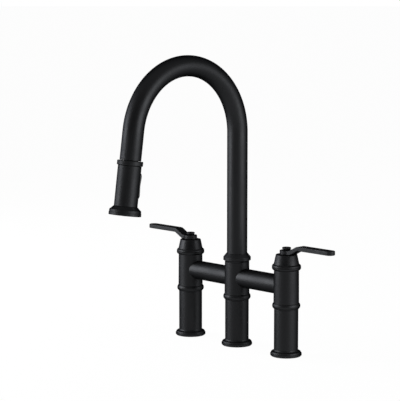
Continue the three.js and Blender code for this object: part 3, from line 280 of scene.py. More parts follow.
knob_black = coated_black("satin_black_small_parts", 0.43)
nozzle_rubber = moulding("nozzle_rubber", (0.03, 0.031, 0.033), (0.044, 0.045, 0.047), 0.62)
SLOT_MATERIALS = {
    "matte_black": coated_black("satin_black", 0.46),
    "brass": machined_metal("machined_brass", (0.66, 0.47, 0.20), (0.50, 0.34, 0.15), 0.30),
    "steel": machined_metal("stainless_steel", (0.56, 0.57, 0.59), (0.44, 0.45, 0.46), 0.28),
    "rubber": moulding("black_rubber", (0.009, 0.009, 0.0095), (0.017, 0.017, 0.018), 0.72),
    "ceramic": moulding("ceramic", (0.80, 0.80, 0.77), (0.86, 0.86, 0.84), 0.22, 2500.0, 0.03),
    "nylon": moulding("white_nylon", (0.62, 0.61, 0.57), (0.70, 0.69, 0.66), 0.5),
    "dark_plastic": moulding("dark_plastic", (0.011, 0.0113, 0.012), (0.016, 0.0163, 0.017), 0.5),
    "hose": braided_hose("hose_braid"),
}

# ---------------------------------------------------------------- mesh helpers


def add_object(name, data):
    obj = bpy.data.objects.new(name, data)
    bpy.context.scene.collection.objects.link(obj)
    return obj


def mesh_in_mm(name, points, faces):
    mesh = bpy.data.meshes.new(name)
    mesh.from_pydata([tuple(c * MM for c in p) for p in points], [], faces)
    return mesh


def closed_mesh(name, points, faces, place=None):
    """A closed mesh from points in millimetres, welded, with its faces outward."""
    mesh = mesh_in_mm(name, points, faces)
    mesh.validate()
    bm = bmesh.new()
    bm.from_mesh(mesh)
    bmesh.ops.remove_doubles(bm, verts=bm.verts, dist=WELD)
    bmesh.ops.recalc_face_normals(bm, faces=bm.faces)
    bm.to_mesh(mesh)
    bm.free()
    if place is not None:
        mesh.transform(place)
    return mesh


def even_shading(obj):
    obj.modifiers.new("even shading", "WEIGHTED_NORMAL").keep_sharp = True


def make(name, points, faces, body, node, slot="matte_black", material=None, place=None):
    """A shaded piece that rides on its body and stands for its CAD node."""
    mesh = closed_mesh(name, points, faces, place)
    mesh.shade_smooth()
    mesh.materials.append(material or SLOT_MATERIALS[slot])
    obj = add_object(name, mesh)
    even_shading(obj)
    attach(obj, body)
    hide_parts(node)
    return obj


def rounded(corners):
    """Profile points from corners, each (r, z, radius) or, with HIDDEN_EDGE, (r, z)."""
    result = []
    for i, (r, z, *own) in enumerate(corners):
        radius = own[0] if own else HIDDEN_EDGE
        here = Vector((r, z))
        if radius <= 0:
            result.append(here)
            continue
        before = Vector(corners[i - 1][:2]) - here
        after = Vector(corners[(i + 1) % len(corners)][:2]) - here
        turn = math.pi - before.angle(after)
        if turn < STRAIGHT:
            result.append(here)
            continue
        cut_back = min(radius * math.tan(turn / 2), EDGE_SHARE * before.length,
                       EDGE_SHARE * after.length)
        size = cut_back / math.tan(turn / 2)
        start = here + before.normalized() * cut_back
        end = here + after.normalized() * cut_back
        inward = (before.normalized() + after.normalized()).normalized()
        centre = here + inward * (size / math.cos(turn / 2))
        a0 = math.atan2(*(start - centre).yx)
        a1 = math.atan2(*(end - centre).yx)
        sweep = (a1 - a0 + math.pi) % (2 * math.pi) - math.pi
        steps = max(2, math.ceil(math.degrees(turn) / FINE))
        for k in range(steps + 1):
            a = a0 + sweep * k / steps
            result.append(centre + Vector((math.cos(a), math.sin(a))) * size)
    return [(p.x, p.y) for p in result]


def bulge(r, z, out, half, a0, a1, steps=12):
    """Corners on a bead's round: angles in degrees, 0 straight out and 90 up."""
    points = []
    for k in range(steps + 1):
        a = math.radians(a0 + (a1 - a0) * k / steps)
        points.append((r + out * math.cos(a), z + half * math.sin(a), 0))
    return points


def turns(count):
    """Angles of points that are spaced evenly round a circle."""
    return [2 * math.pi * k / count for k in range(count)]


def strip(lower, upper):
    """Quads between two open rows of point numbers."""
    return [(lower[k], lower[k + 1], upper[k + 1], upper[k]) for k in range(len(lower) - 1)]


def band(lower, upper):
    """Quads between two closed loops of point numbers."""
    return strip([*lower, lower[0]], [*upper, upper[0]])


def ring_faces(rings, segments, closed=True):
    """Quads between rings of points that are numbered ring by ring."""
    loops = [range(i * segments, (i + 1) * segments) for i in range(rings)]
    following = loops[1:] + loops[:1] if closed else loops[1:]
    return [face for lower, upper in zip(loops, following) for face in band(lower, upper)]


def joined(parts):
    """Several (points, faces) meshes as one."""
    points, faces = [], []
    for part_points, part_faces in parts:
        base = len(points)
        points.extend(part_points)
        faces.extend([tuple(base + i for i in face) for face in part_faces])
    return points, faces


def lathe_mesh(profile, segments=ROUND):
    """Points and faces of a closed profile turned about Z. Radii of 0 close on the axis."""
    points, rings = [], []
    for r, z in profile:
        if r < ON_AXIS:
            rings.append([len(points)] * segments)
            points.append((0, 0, z))
            continue
        rings.append(list(range(len(points), len(points) + segments)))
        points += [(r * math.cos(a), r * math.sin(a), z) for a in turns(segments)]
    faces = []
    for lower, upper in zip(rings, rings[1:] + rings[:1]):
        for face in band(lower, upper):
            unique = list(dict.fromkeys(face))
            if len(unique) > 2:
                faces.append(unique)
    return points, faces


def downward(profile):
    return [(r, -t) for r, t in profile]


def lathe(name, corners, body, node, segments=ROUND, **more):
    """A turned piece about a column's axis."""
    return make(name, *lathe_mesh(rounded(corners), segments), body, node, **more)


def head_lathe(name, corners, body, node, segments=ROUND, **more):
    """A turned piece about the spray head's axis, from distances down it."""
    points, faces = lathe_mesh(downward(rounded(corners)), segments)
    return make(name, points, faces, body, node, place=head_place, **more)


def cut(obj, cutter):
    """Cuts a solid out of a piece, keeps the result as its mesh, and eases the new edges."""
    obj.modifiers.clear()
    difference = obj.modifiers.new("cut", "BOOLEAN")
    difference.operation, difference.solver, difference.object = "DIFFERENCE", "EXACT", cutter
    graph = bpy.context.evaluated_depsgraph_get()
    mesh = bpy.data.meshes.new_from_object(obj.evaluated_get(graph), depsgraph=graph)
    obj.modifiers.clear()
    obj.data = mesh
    bpy.data.objects.remove(cutter)
    edges = obj.modifiers.new("cut edges", "BEVEL")
    edges.width, edges.segments, edges.limit_method = CUT_EDGE * MM, 2, "ANGLE"
    edges.angle_limit = math.radians(CUT_ANGLE)
    even_shading(obj)


# ---------------------------------------------------------------- columns


def column_place(side):
    return Matrix.Translation((side * COLUMN_SPACING * MM, 0, 0))


def lower_bead():
    return [
        (BODY_R, LEG_TOP + SEAT_GAP, 0.3),
        (BODY_R, LEG_TOP + SEAT_GAP + BODY_LIP),
        *bulge(BODY_R, LOWER_BEAD_Z, LOWER_BEAD_R - BODY_R, LOWER_BEAD_HALF,
               -BEAD_ANGLE, BEAD_ANGLE, 20),
    ]


def spigot_pocket():
    """The hole in a body's floor, and the pocket for the leg's spigot under it."""
    return [
        (FLOOR_HOLE_R, SPIGOT_POCKET_TOP),
        (SPIGOT_POCKET_R, SPIGOT_POCKET_TOP),
        (SPIGOT_POCKET_R, LEG_TOP + SEAT_GAP),
    ]


def foot_and_leg(name, place):
    lathe(f"gasket_{name}", [
        (GASKET_R, 0, 0.2),
        (GASKET_R, GASKET_T, 0.2),
        (LEG_BORE_R + FIT_GAP, GASKET_T),
        (LEG_BORE_R + FIT_GAP, 0),
    ], "base", f"foot_gasket_{name}", slot="rubber", place=place)
    flare = LEG_R + (FLARE_SHOULDER_R - LEG_R) / 2
    shoulder = FOOT_RIM_TOP + FOOT_GROOVE
    rise = (FLARE_TOP - shoulder) / 2
    bottom = GASKET_T + SEAT_GAP
    lathe(f"column_leg_{name}", [
        (FOOT_R, bottom, 0.35),
        (FOOT_R, FOOT_RIM_TOP, 0.45),
        (FLARE_SHOULDER_R, shoulder - 0.1, 0.05),
        *bulge(flare, shoulder, FLARE_SHOULDER_R - flare, rise, 8, 90, 10),
        *bulge(flare, FLARE_TOP, LEG_R - flare, -rise, 84, 0, 10),
        (LEG_R, LEG_TOP, 0.35),
        (LEG_R - LEG_SPIGOT_STEP, LEG_TOP),
        (LEG_R - LEG_SPIGOT_STEP, LEG_TOP + LEG_SPIGOT_L, 0.3),
        (LEG_BORE_R, LEG_TOP + LEG_SPIGOT_L),
        (LEG_BORE_R, bottom, 0.2),
    ], "base", f"leg_{name}", place=place)


def valve_column(name, side):
    place = column_place(side)
    foot_and_leg(name, place)
    groove_low, groove_high = UPPER_BEAD_Z - BEAD_GROOVE / 2, UPPER_BEAD_Z + BEAD_GROOVE / 2
    bead_top = UPPER_BEAD_Z + UPPER_BEAD_HALF - BEAD_GROOVE
    bead_round = UPPER_BEAD_HALF - UPPER_BEAD_FLAT
    lathe(f"valve_housing_{name}", [
        *lower_bead(),
        (BODY_R, UPPER_BEAD_Z - UPPER_BEAD_HALF, 0.2),
        *bulge(BODY_R, UPPER_BEAD_Z - UPPER_BEAD_FLAT, UPPER_BEAD_R - BODY_R, bead_round,
               -BEAD_ANGLE, 0),
        (UPPER_BEAD_R, groove_low, 0.35),
        (BODY_NECK_R, groove_low),
        (BODY_NECK_R, groove_low + BODY_NECK_L, 0.3),
        (BODY_NECK_BORE_R, groove_low + BODY_NECK_L),
        (BODY_NECK_BORE_R, CHAMBER_TOP),
        (CHAMBER_R, CHAMBER_TOP),
        (CHAMBER_R, VALVE_SEAT_Z),
        (SEAT_HOLE_R, VALVE_SEAT_Z),
        (SEAT_HOLE_R, FLOOR_TOP + FIT_GAP),
        (FLOOR_HOLE_R, FLOOR_TOP + FIT_GAP),
        *spigot_pocket(),
    ], "base", f"valve_body_{name}", place=place)
    lathe(f"cap_{name}", [
        (UPPER_BEAD_R, groove_high, 0.35),
        *bulge(BONNET_LOW_R, UPPER_BEAD_Z + UPPER_BEAD_FLAT - BEAD_GROOVE,
               UPPER_BEAD_R - BONNET_LOW_R, bead_round, 0, BEAD_ANGLE),
        (BONNET_LOW_R, bead_top, 0.2),
        (BONNET_TOP_R, BONNET_TOP, BONNET_EDGE),
        (STEM_HOLE_R, BONNET_TOP, 0.3),
        (STEM_HOLE_R, BONNET_TOP - BONNET_ROOF),
        (BONNET_TOP_R - BONNET_WALL, BONNET_TOP - BONNET_ROOF, 0.2),
        (BODY_NECK_R + FIT_GAP, bead_top),
        (BODY_NECK_R + FIT_GAP, groove_high),
    ], "base", f"bonnet_{name}", place=place)


def centre_column():
    foot_and_leg("centre", None)
    neck_top, bottom = TEE_TOP + TEE_NECK_L, TEE_TOP + SEAT_GAP
    lathe("tee_housing", [
        *lower_bead(),
        (BODY_R, TEE_TOP, 0.3),
        (TEE_NECK_R, TEE_TOP),
        (TEE_NECK_R, neck_top, 0.3),
        (TEE_NECK_BORE_R, neck_top),
        (TEE_NECK_BORE_R, CHAMBER_TOP),
        (CHAMBER_R, CHAMBER_TOP),
        (CHAMBER_R, FLOOR_TOP),
        (FLOOR_HOLE_R, FLOOR_TOP),
        *spigot_pocket(),
    ], "base", "tee_body")
    lathe("collar", [
        (BODY_R, bottom, 0.15),
        *bulge(COLLAR_R, bottom, BODY_R - COLLAR_R, COLLAR_BAND_LOW - bottom, 10, 84, 8),
        (COLLAR_R, COLLAR_BAND_LOW, 0.3),
        (COLLAR_R, COLLAR_BAND_HIGH, 0.7),
        (COLLAR_TOP_R, COLLAR_TOP, 0.5),
        (TUBE_R + COLLAR_LIP_GAP, COLLAR_TOP, 0.15),
        (TUBE_R + FIT_GAP, RISER_BOTTOM),
        (TEE_NECK_R + FIT_GAP, RISER_BOTTOM),
        (TEE_NECK_R + FIT_GAP, bottom),
    ], "base", "spout_collar")


def bridge_tube(name, side):
    """Tube between two columns, its ends coped to their round and slightly eased."""
    seat = BODY_R + BRIDGE_SEAT_GAP
    end = [(BRIDGE_BORE_R, 0.0), *((BRIDGE_R - drop, inset) for drop, inset in BRIDGE_EDGE)]
    rows = [*end, (BRIDGE_R, None), *((radius, -inset) for radius, inset in reversed(end))]
    points = []
    for index, (radius, inset) in enumerate(rows):
        for a in turns(ROUND):
            y, z = radius * math.sin(a), radius * math.cos(a)
            start = math.sqrt(seat * seat - y * y)
            if inset is None:
                x = COLUMN_SPACING / 2
            elif index < len(end):
                x = start + inset
            else:
                x = COLUMN_SPACING - start + inset
            points.append((side * x, y, BRIDGE_Z + z))
    make(f"bridge_tube_{name}", points, ring_faces(len(rows), ROUND), "base",
         f"bridge_arm_{name}")


# ---------------------------------------------------------------- levers


def lever_middle(x):
    """Height and slope of the strap's middle line at x."""
    hub_z = BONNET_TOP + SEAT_GAP + LEVER_T / 2
    slope = math.atan2(LEVER_GRIP_Z - hub_z, LEVER_RISE_END - LEVER_RISE_START)
    reach = LEVER_BEND_R * math.tan(slope / 2)
    across = LEVER_BEND_R * math.sin(slope)
    first, second = LEVER_RISE_START - reach, LEVER_RISE_END + reach
    if x <= first:
        return hub_z, 0.0
    if x <= first + across:
        a = math.asin((x - first) / LEVER_BEND_R)
        return hub_z + LEVER_BEND_R * (1 - math.cos(a)), a
    if x < second - across:
        return hub_z + (x - LEVER_RISE_START) * math.tan(slope), slope
    if x < second:
        a = math.asin((second - x) / LEVER_BEND_R)
        return LEVER_GRIP_Z - LEVER_BEND_R * (1 - math.cos(a)), a
    return LEVER_GRIP_Z, 0.0


def lever_outline(inset):
    """Half of the plan outline, from the hub's back to the tip, as (x, half width)."""
    hub, half = LEVER_HUB_R - inset, LEVER_WIDTH / 2 - inset
    join = math.asin(min(1.0, half / hub))
    points = []
    for k in range(LEVER_HUB_STEPS + 1):
        a = math.pi + (join - math.pi) * k / LEVER_HUB_STEPS
        points.append((hub * math.cos(a), hub * math.sin(a)))
    start, end = hub * math.cos(join), LEVER_TIP - LEVER_WIDTH / 2
    for k in range(1, LEVER_STRAP_STEPS):
        points.append((start + (end - start) * k / LEVER_STRAP_STEPS, half))
    for k in range(LEVER_TIP_STEPS + 1):
        a = math.pi / 2 * (1 - k / LEVER_TIP_STEPS)
        points.append((end + half * math.cos(a), half * math.sin(a)))
    return points


def lever_mesh():
    """Flat strap with a round hub, bent up to the grip, with eased edges all round."""
    half_t = LEVER_T / 2
    rings = []
    for k in range(LEVER_EDGE_STEPS + 1):
        a = math.pi / 2 * k / LEVER_EDGE_STEPS
        rings.append((LEVER_EDGE * (1 - math.sin(a)), -half_t + LEVER_EDGE * (1 - math.cos(a))))
    rings += [(inset, -z) for inset, z in reversed(rings)]
    points, faces, loops = [], [], []

    def put(x, y, z_local):
        """Adds a point of the flat strap where the bends take it, and returns its number."""
        z, a = lever_middle(x)
        points.append((x - math.sin(a) * z_local, y, z + math.cos(a) * z_local))
        return len(points) - 1

    for inset, z_local in rings:
        outline = lever_outline(inset)
        loop = [put(x, y, z_local) for x, y in outline]
        loop += [put(x, -y, z_local) for x, y in outline[-2:0:-1]]
        loops.append(loop)
    for lower, upper in zip(loops, loops[1:]):
        faces += band(lower, upper)
    for loop, (inset, z_local) in ((loops[0], rings[0]), (loops[-1], rings[-1])):
        outline = lever_outline(inset)
        rows = []
        for i, (x, y) in enumerate(outline[1:-1], start=1):
            inner = [put(x, y * (1 - 2 * c / LEVER_COLUMNS), z_local)
                     for c in range(1, LEVER_COLUMNS)]
            rows.append([loop[i], *inner, loop[-i]])
        for first, second in zip(rows, rows[1:]):
            faces += strip(first, second)
        tip = loop[len(outline) - 1]
        for c in range(LEVER_COLUMNS):
            faces.append((loop[0], rows[0][c], rows[0][c + 1]))
            faces.append((tip, rows[-1][c + 1], rows[-1][c]))
    return points, faces


def lever_piece(name, side):
    place = column_place(side) @ Matrix.Rotation(math.pi if side < 0 else 0.0, 4, "Z")
    body = f"{name}_handle"
    make(f"lever_strap_{name}", *lever_mesh(), body, f"lever_{name}", place=place)
    neck = BONNET_TOP + 2 * SEAT_GAP + LEVER_T
    head = neck + BOLT_NECK_T
    lathe(f"lever_knob_{name}", [
        (0, neck, 0),
        (BOLT_NECK_R, neck, 0.15),
        (BOLT_NECK_R, head, 0.15),
        (BOLT_HEAD_R, head + BOLT_HEAD_TAPER, 0.3),
        (BOLT_HEAD_R, head + BOLT_HEAD_T, 0.8),
        (0, head + BOLT_HEAD_T, 0),
    ], body, f"lever_bolt_{name}", SMALL_ROUND, material=knob_black, place=place)


# ---------------------------------------------------------------- spout


def spout_station(distance):
    """Centre and outward normal of the spout's middle line, at a distance from the riser's foot."""
    if distance < spout_straight:
        return Vector((0, 0, RISER_BOTTOM + distance)), Vector((0, 1, 0))
    if distance < spout_straight + spout_bend:
        a = (distance - spout_straight) / ARC_R
        return (Vector((0, ARC_R * math.cos(a) - ARC_R, ARC_Z + ARC_R * math.sin(a))),
                Vector((0, math.cos(a), math.sin(a))))
    end = outlet_end / MM + outlet_axis * (distance - spout_straight - spout_bend)
    return end, Vector((0, math.cos(math.pi - tilt), math.sin(math.pi - tilt)))


def tube_points(rows, segments):
    """Rings of points along the spout's middle line, from (distance, radius) rows."""
    points = []
    for distance, radius in rows:
        centre, normal = spout_station(distance)
        for a in turns(segments):
            across = Vector((1, 0, 0)) * radius * math.cos(a)
            points.append(tuple(centre + across + normal * radius * math.sin(a)))
    return points


def spout_pieces():
    steps = [spout_length * k / SPOUT_STEPS for k in range(1, SPOUT_STEPS)]
    bore = TUBE_R - TUBE_WALL
    rows = [(0, TUBE_R - RISER_EDGE), (RISER_EDGE, TUBE_R)]
    rows += [(s, TUBE_R) for s in steps]
    rows += [(spout_length - inset, TUBE_R - drop) for inset, drop in OUTLET_OUTER_EDGE]
    rows += [(spout_length - inset, bore + drop) for inset, drop in OUTLET_INNER_EDGE]
    rows += [(s, bore) for s in reversed(steps[::BORE_SKIP])]
    rows += [(0, bore)]
    make("spout_tube", tube_points(rows, ROUND), ring_faces(len(rows), ROUND), "spout",
         "gooseneck")
    head_lathe("outlet_guide", [
        (DOCK_GUIDE_R, DOCK_GUIDE_TOP, 0.3),
        (DOCK_GUIDE_R, OUTLET_L, 0.3),
        (DOCK_GUIDE_R - DOCK_GUIDE_WALL, OUTLET_L, 0.5),
        (DOCK_GUIDE_R - DOCK_GUIDE_WALL, DOCK_GUIDE_TOP, 0.5),
    ], "spout", "docking_guide", SMALL_ROUND, slot="dark_plastic")


# ---------------------------------------------------------------- spray head


def ferrule():
    crimp_end = FERRULE_TOP + FERRULE_L
    nut_end = crimp_end + FERRULE_NUT_L
    head_lathe("ferrule", [
        (FERRULE_BORE_R, crimp_end, 0),
        (HOSE_R + FIT_GAP, crimp_end, 0),
        (HOSE_R + FIT_GAP, FERRULE_TOP),
        (FERRULE_R, FERRULE_TOP, 0.5),
        *((FERRULE_R - depth, down, 0.3) for down, depth in FERRULE_GROOVE),
        (FERRULE_R, crimp_end, 0.2),
        (FERRULE_NUT_R, crimp_end, 0.4),
        (FERRULE_NUT_R, nut_end, 0.4),
        (FERRULE_SPIGOT_R, nut_end),
        (FERRULE_SPIGOT_R, FERRULE_END, 0.3),
        (FERRULE_BORE_R, FERRULE_END, 0.2),
    ], "hose_end", "hose_fitting", FERRULE_SEGMENTS, slot="brass")


def spray_pieces():
    ferrule()
    head_lathe("docking_band", [
        (HEAD_NECK_R + FIT_GAP, DOCK_RING_TOP),
        (DOCK_RING_R, DOCK_RING_TOP, DOCK_RING_EDGE),
        (DOCK_RING_R, DOCK_RING_BOTTOM, DOCK_RING_EDGE),
        (HEAD_NECK_R + FIT_GAP, DOCK_RING_BOTTOM),
    ], "spray_head", "docking_ring")
    shell = head_lathe("spray_shell", [
        (HEAD_R - HEAD_WALL, HEAD_TOP),
        (HEAD_R, HEAD_TOP, 0.4),
        (HEAD_R, HEAD_BOTTOM, 0.4),
        (HEAD_R - HEAD_WALL, HEAD_BOTTOM),
    ], "spray_head", "spray_body")
    cut(shell, rocker_slot())
    head_lathe("spray_rim", [
        (CORE_R + FIT_GAP, BELL_TOP),
        (HEAD_R + BEAD_GROOVE, BELL_TOP, 0.2),
        (BELL_CONE_R - BELL_CONE_EASE, BELL_CONE_END - BELL_CONE_EASE, 0.3),
        *bulge(BELL_CONE_R, BELL_CONE_END + BELL_ROUND_L, BELL_BAND_R - BELL_CONE_R,
               BELL_ROUND_L, -60, 0, 8),
        (BELL_BAND_R, BELL_RIM_TOP, 0.15),
        (BELL_R, BELL_RIM_TOP + BELL_RIM_STEP, 0.3),
        (BELL_R, BELL_BOTTOM, 0.5),
        (BELL_BORE_R, BELL_BOTTOM, 0.4),
        (BELL_BORE_R, FACE_TOP - FIT_GAP),
        (CORE_R + FIT_GAP, FACE_TOP - BELL_THROAT_L),
    ], "spray_head", "spray_bell")
    spray_face()
    rocker_piece()


def stadium(half_l, half_w):
    """Outline of a slot with round ends, as (across, down) points."""
    points = []
    for sign, base in ((1, 0.0), (-1, math.pi)):
        for k in range(STADIUM_STEPS + 1):
            a = base + math.pi * k / STADIUM_STEPS
            points.append((half_w * math.cos(a), sign * (half_l - half_w) + half_w * math.sin(a)))
    return points


def rocker_slot():
    """The solid that cuts the rocker's slot out of the shell."""
    outline = stadium(ROCKER_HALF_L + ROCKER_SLOT_GAP, ROCKER_HALF_W + ROCKER_SLOT_GAP / 2)
    inside, outside = range(len(outline)), range(len(outline), 2 * len(outline))
    proud = HEAD_R + CUTTER_PROUD
    points = [(u, y, v - ROCKER_CENTRE) for y in (CORE_FLAT_Y, proud) for u, v in outline]
    faces = [tuple(inside), tuple(reversed(outside)), *band(inside, outside)]
    return add_object("tool", closed_mesh("tool", points, faces, head_place))


def rocker_height(v):
    """Height of the rocker's middle at v, from -1 at its lower end to 1 at its upper end."""
    end = ROCKER_TOP_Y if v > 0 else ROCKER_LOW_Y
    share = min(1.0, abs(v) / ROCKER_LOBE)
    height = ROCKER_SADDLE_Y + (end - ROCKER_SADDLE_Y) * smooth(share)
    fall = max(0.0, (abs(v) - ROCKER_FALL) / ROCKER_FALL_L)
    return height - (height - ROCKER_END_Y) * (1 - math.sqrt(max(0.0, 1 - fall * fall)))


def smooth(share):
    """A step from 0 to 1 that starts and ends gently."""
    return share * share * (3 - 2 * share)


def rocker_piece():
    """Push rocker: two lobes with a saddle between, crowned across, with eased edges."""
    points, rows = [], []
    for i in range(ROCKER_ROWS + 1):
        v = -ROCKER_HALF_L * math.cos(math.pi * i / ROCKER_ROWS)
        over = max(0.0, abs(v) - (ROCKER_HALF_L - ROCKER_HALF_W))
        width = math.sqrt(max(0.0, ROCKER_HALF_W * ROCKER_HALF_W - over * over))
        row = []
        for j in range(ROCKER_COLUMNS + 1):
            u = width * math.sin(math.pi / 2 * (2 * j / ROCKER_COLUMNS - 1))
            near = max(0.0, ROCKER_EDGE - (ROCKER_HALF_W - math.hypot(u, over)))
            crown = ROCKER_CROWN_R - math.sqrt(ROCKER_CROWN_R ** 2 - u * u)
            drop = ROCKER_EDGE - math.sqrt(max(0.0, ROCKER_EDGE * ROCKER_EDGE - near ** 2))
            row.append(len(points))
            y = rocker_height(v / ROCKER_HALF_L) - crown - drop
            points.append((u, y, v - ROCKER_CENTRE))
        rows.append(row)
    faces = []
    for first, second in zip(rows, rows[1:]):
        faces += strip(first, second)
    rim = [row[-1] for row in rows] + [row[0] for row in reversed(rows)]
    base = range(len(points), len(points) + len(rim))
    points += [(points[index][0], ROCKER_BASE_Y, points[index][2]) for index in rim]
    faces += [*band(rim, base), tuple(base)]
    make("rocker_button", points, faces, "rocker_button", "rocker", slot="dark_plastic",
         place=head_place)


def nub(x, y, top, radius, height):
    """Soft spray nozzle: a small cone with a rounded rim and a hole."""
    sunk, shoulder, tip, hole_end = top - 0.3, top + height * 0.75, top + height, top + 0.1
    profile = [
        (radius + 0.25, sunk), (radius + 0.2, top), (radius, shoulder), (radius - 0.12, tip),
        (radius * 0.45, tip), (radius * 0.4, hole_end), (0.0, hole_end), (0.0, sunk),
    ]
    points, faces = lathe_mesh(downward(profile), NUB_SEGMENTS)
    return [(px + x, py + y, pz) for px, py, pz in points], faces


def nub_rows(rows, top, size, height):
    """Nozzles in rows round the head's axis, each row (radius, count, turn)."""
    nubs = []
    for radius, count, turn in rows:
        for k in range(count):
            a = 2 * math.pi * (k + turn) / count
            nubs.append(nub(radius * math.cos(a), radius * math.sin(a), top, size, height))
    return nubs


def spray_face():
    nubs = nub_rows(NOZZLE_ROWS, FACE_BOTTOM, NOZZLE_R, NOZZLE_L)
    panel = FACE_BOTTOM - FACE_SUNK
    plate = lathe_mesh(downward(rounded([
        (AERATOR_R + FIT_GAP, FACE_TOP),
        (BELL_BORE_R - FIT_GAP, FACE_TOP),
        (BELL_BORE_R - FIT_GAP, FACE_BOTTOM, 0.3),
        (FACE_PANEL_OUTSIDE[0], FACE_BOTTOM),
        (FACE_PANEL_OUTSIDE[1], panel),
        (FACE_PANEL_INSIDE[0], panel),
        (FACE_PANEL_INSIDE[1], FACE_BOTTOM),
        (AERATOR_R + FIT_GAP, FACE_BOTTOM, 0.2),
    ])))
    make("spray_plate", *joined([plate, *nubs]), "spray_head", "nozzle_face",
         slot="dark_plastic", material=nozzle_rubber, place=head_place)
    screen = FACE_BOTTOM - AERATOR_SUNK
    streams = nub_rows(STREAM_ROWS, screen, STREAM_R, STREAM_L)
    disc = lathe_mesh(downward(rounded([
        (0, AERATOR_TOP, 0),
        (AERATOR_R, AERATOR_TOP, 0.2),
        (AERATOR_R, FACE_BOTTOM, 0.25),
        (AERATOR_R - AERATOR_RIM, FACE_BOTTOM),
        (AERATOR_R - AERATOR_RIM_FOOT, screen),
        (0, screen, 0),
    ])), SMALL_ROUND)
    make("aerator_insert", *joined([disc, *streams]), "spray_head", "aerator",
         slot="dark_plastic", place=head_place)


# ---------------------------------------------------------------- hose


def hose_rows(start, end, spacing):
    """Distances from start to end in even steps."""
    count = max(2, math.ceil((end - start) / spacing))
    return [start + (end - start) * k / count for k in range(count + 1)]


def hose_piece(name, distances, length_at):
    """Braided hose along the spout's middle line, with closed ends.

    length_at gives the length of hose up to a distance, for the braid's UV map.
    """
    rows = [(distances[0], HOSE_R * HOSE_END), *((s, HOSE_R) for s in distances),
            (distances[-1], HOSE_R * HOSE_END)]
    last = (len(rows) - 1) * HOSE_SEGMENTS
    faces = ring_faces(len(rows), HOSE_SEGMENTS, closed=False)
    faces += [tuple(range(HOSE_SEGMENTS)), tuple(range(last, last + HOSE_SEGMENTS))]
    mesh = mesh_in_mm(name, tube_points(rows, HOSE_SEGMENTS), faces)
    layer = mesh.uv_layers.new(name="UVMap")
    along = [length_at(s) / (2 * math.pi * HOSE_R) * HOSE_STRANDS for s, _ in rows]
    for polygon in mesh.polygons:
        spots = [divmod(v, HOSE_SEGMENTS) for v in polygon.vertices]
        wraps = len(spots) == 4 and max(c for _, c in spots) - min(c for _, c in spots) > 1
        for loop, (row, column) in zip(polygon.loop_indices, spots):
            turn = 1.0 if wraps and column == 0 else column / HOSE_SEGMENTS
            layer.data[loop].uv = (turn * HOSE_STRANDS, along[row])
    mesh.shade_smooth()
    mesh.materials.append(SLOT_MATERIALS["hose"])
    obj = add_object(name, mesh)
    return obj


def hose_pieces():
    """The hose runs through the leg and the spout. Its last run reaches into the spray head, and
    its braid is mapped for the extra length of a full pull.
    """
    bottom = GASKET_T + SEAT_GAP - RISER_BOTTOM
    arc_end = spout_length - OUTLET_L
    middle = arc_end - HOSE_SPLIT
    fixed = hose_piece("hose_in_spout", hose_rows(bottom, middle, HOSE_STEP), lambda s: s)
    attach(fixed, "spout")
    stretch_start, stretch_end = arc_end - STRETCH_ABOVE, arc_end + STRETCH_BELOW

    def pulled(s):
        share = (s - stretch_start) / (stretch_end - stretch_start)
        return s + PULL * smooth(min(1.0, max(0.0, share)))

    distances = hose_rows(middle, stretch_start, HOSE_STEP)[:-1]
    distances += hose_rows(stretch_start, stretch_end, STRETCH_STEP)
    distances += [arc_end + FERRULE_TOP + FERRULE_L - FIT_GAP]
    moving = hose_piece("hose_end_run", distances, pulled)
    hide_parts("spray_hose")
    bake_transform(moving)


# ---------------------------------------------------------------- floor, lights and camera

BACKDROP_SIDE = (-0.736, 0.677, 0.0)     # level, from the camera to the faucet
BACKDROP_RANGE, BACKDROP_STRENGTH = (-0.5, 0.6), (0.04, 1.0)
OVERHEAD_RANGE, OVERHEAD_STRENGTH = (0.3, 0.8), (0.0, 0.6)
ROOM_LIGHT = 0.1
FLOOR_COLOR, FLOOR_ROUGHNESS, FLOOR_WHITE = (0.9, 0.9, 0.9), 0.9, 0.975
FLOOR_HALF, FLOOR_DROP = 60.0, 0.0002    # metres
LAMP_TARGET = (0, -0.06, 0.3)
CAMERA_AZIMUTH, CAMERA_ELEVATION, CAMERA_DISTANCE = 47.4, 7.143, 2.463756
CAMERA_TARGET = (-0.05638, -0.02218, 0.21135)
CAMERA_CLIP = (0.05, 60)
FOCAL_PIXELS, IMAGE_SIDE, SENSOR = 1665.5, 401, 36.0


def seen_or_mirrored(n):
    """1 on rays from the camera, and on those that come by way of a reflection or of glass."""
    rays = n.add("LightPath").outputs
    glossy = n.combine("MAXIMUM", rays["Is Camera Ray"], rays["Is Glossy Ray"])
    return n.combine("MAXIMUM", glossy, rays["Is Transmission Ray"])


